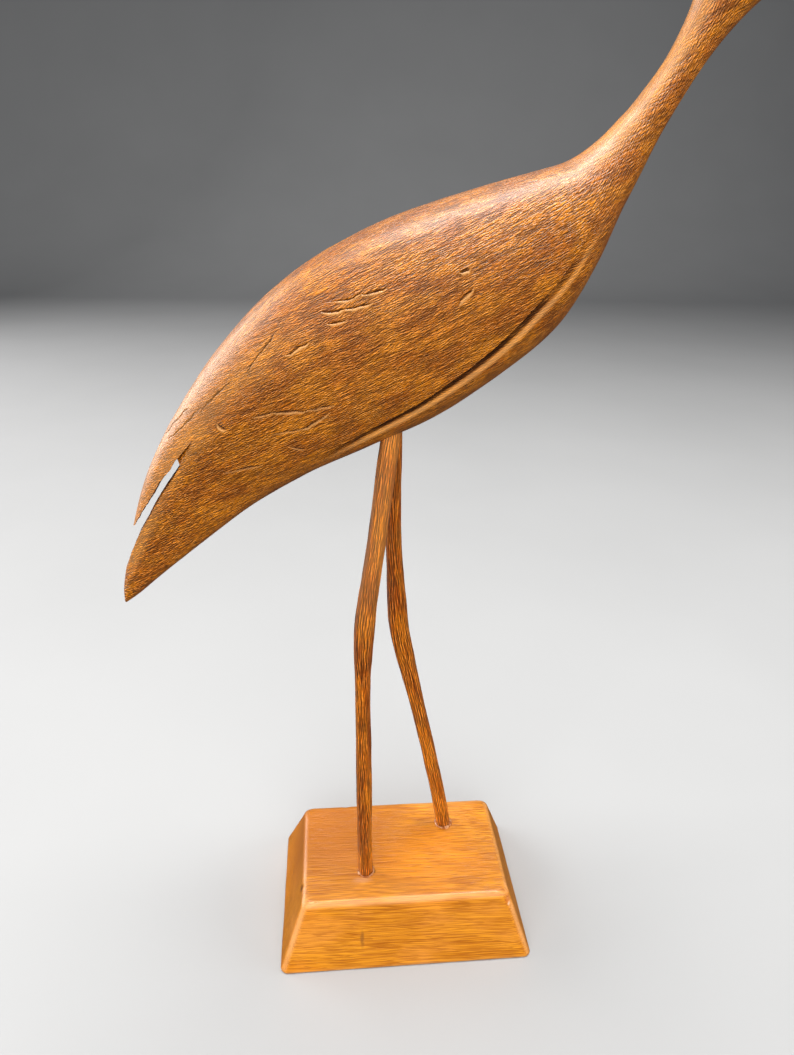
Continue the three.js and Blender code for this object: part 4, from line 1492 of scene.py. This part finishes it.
# %% Floor
def floor():
    mesh = bpy.data.meshes.new("studio_floor")
    depth = [(-2.0, -1.2, 0), (-2.0, 1.6, 0)]
    rise = [(1.6 + 0.8 * math.sin(t), 0.8 - 0.8 * math.cos(t)) for t in np.linspace(0.1, math.pi / 2, 14)]
    profile = [(-1.6, 0.0), (1.6, 0.0)] + rise + [(2.4, 2.2)]
    vertices = [(x, y, z) for x in (-2.6, 2.6) for y, z in profile]
    count = len(profile)
    faces = [(k, count + k, count + k + 1, k + 1) for k in range(count - 1)]
    mesh.from_pydata(vertices, [], faces)
    mesh.shade_smooth()
    piece = bpy.data.objects.new("studio_floor", mesh)
    bpy.context.scene.collection.objects.link(piece)
    material, shader, place, b = new_finish("pale_floor")
    shade = b.noise(place, 6.0, detail=3.0)
    b.put(shader.inputs["Base Color"], b.mix(shade, paint(170, 171, 172), paint(178, 179, 180)))
    shader.inputs["Roughness"].default_value = 0.7
    piece.data.materials.append(material)
    piece.visible_diffuse = piece.visible_glossy = False
    return piece


floor()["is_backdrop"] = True


# %% Lights
def soft_light(name, place, aim, size, watts, colour=(1, 1, 1)):
    data = bpy.data.lights.new(name, "AREA")
    data.shape, data.size, data.size_y = "RECTANGLE", size[0], size[1]
    data.energy, data.color = watts, colour
    lamp = bpy.data.objects.new(name, data)
    lamp.location = place
    lamp.rotation_euler = (Vector(aim) - Vector(place)).to_track_quat("-Z", "Y").to_euler()
    bpy.context.scene.collection.objects.link(lamp)
    return lamp


MIDDLE = (0.0, 0.0, 0.16)
soft_light("ceiling_panel", (0.0, 0.14, 1.15), MIDDLE, (0.95, 0.46), 16.0, (1.0, 0.985, 0.96))
room_light = soft_light("room_behind_us", (-0.25, -1.3, 0.62), MIDDLE, (2.0, 1.0), 31.0, (1.0, 0.985, 0.96))
room_light.visible_glossy = False
soft_light("window_left", (-1.1, 0.52, 0.55), (0.0, 0.0, 0.2), (1.1, 0.95), 14.0, (1.0, 0.98, 0.97))
wall_light = soft_light("wall_right", (1.15, -0.2, 0.45), (0.0, 0.0, 0.2), (0.9, 0.9), 8.0, (1.0, 0.98, 0.97))
wall_light.visible_glossy = False

world = bpy.data.worlds.new("dim_room")
world.use_nodes = True
world.node_tree.nodes["Background"].inputs["Color"].default_value = (0.85, 0.9, 1.0, 1)
world.node_tree.nodes["Background"].inputs["Strength"].default_value = 0.06
bpy.context.scene.world = world
bpy.context.scene.view_settings.view_transform = "Standard"

# %% [markdown]
# ## Printing the size
#
# The dressed carving must fill the same box as the imported solids, so both boxes are printed side by side.

# %% Print the sizes and finish
dressed_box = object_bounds()
for label, box in (("solid", solid_box), ("dressed", dressed_box)):
    print(label, [[round(v * 1000, 1) for v in corner] for corner in box], "mm")
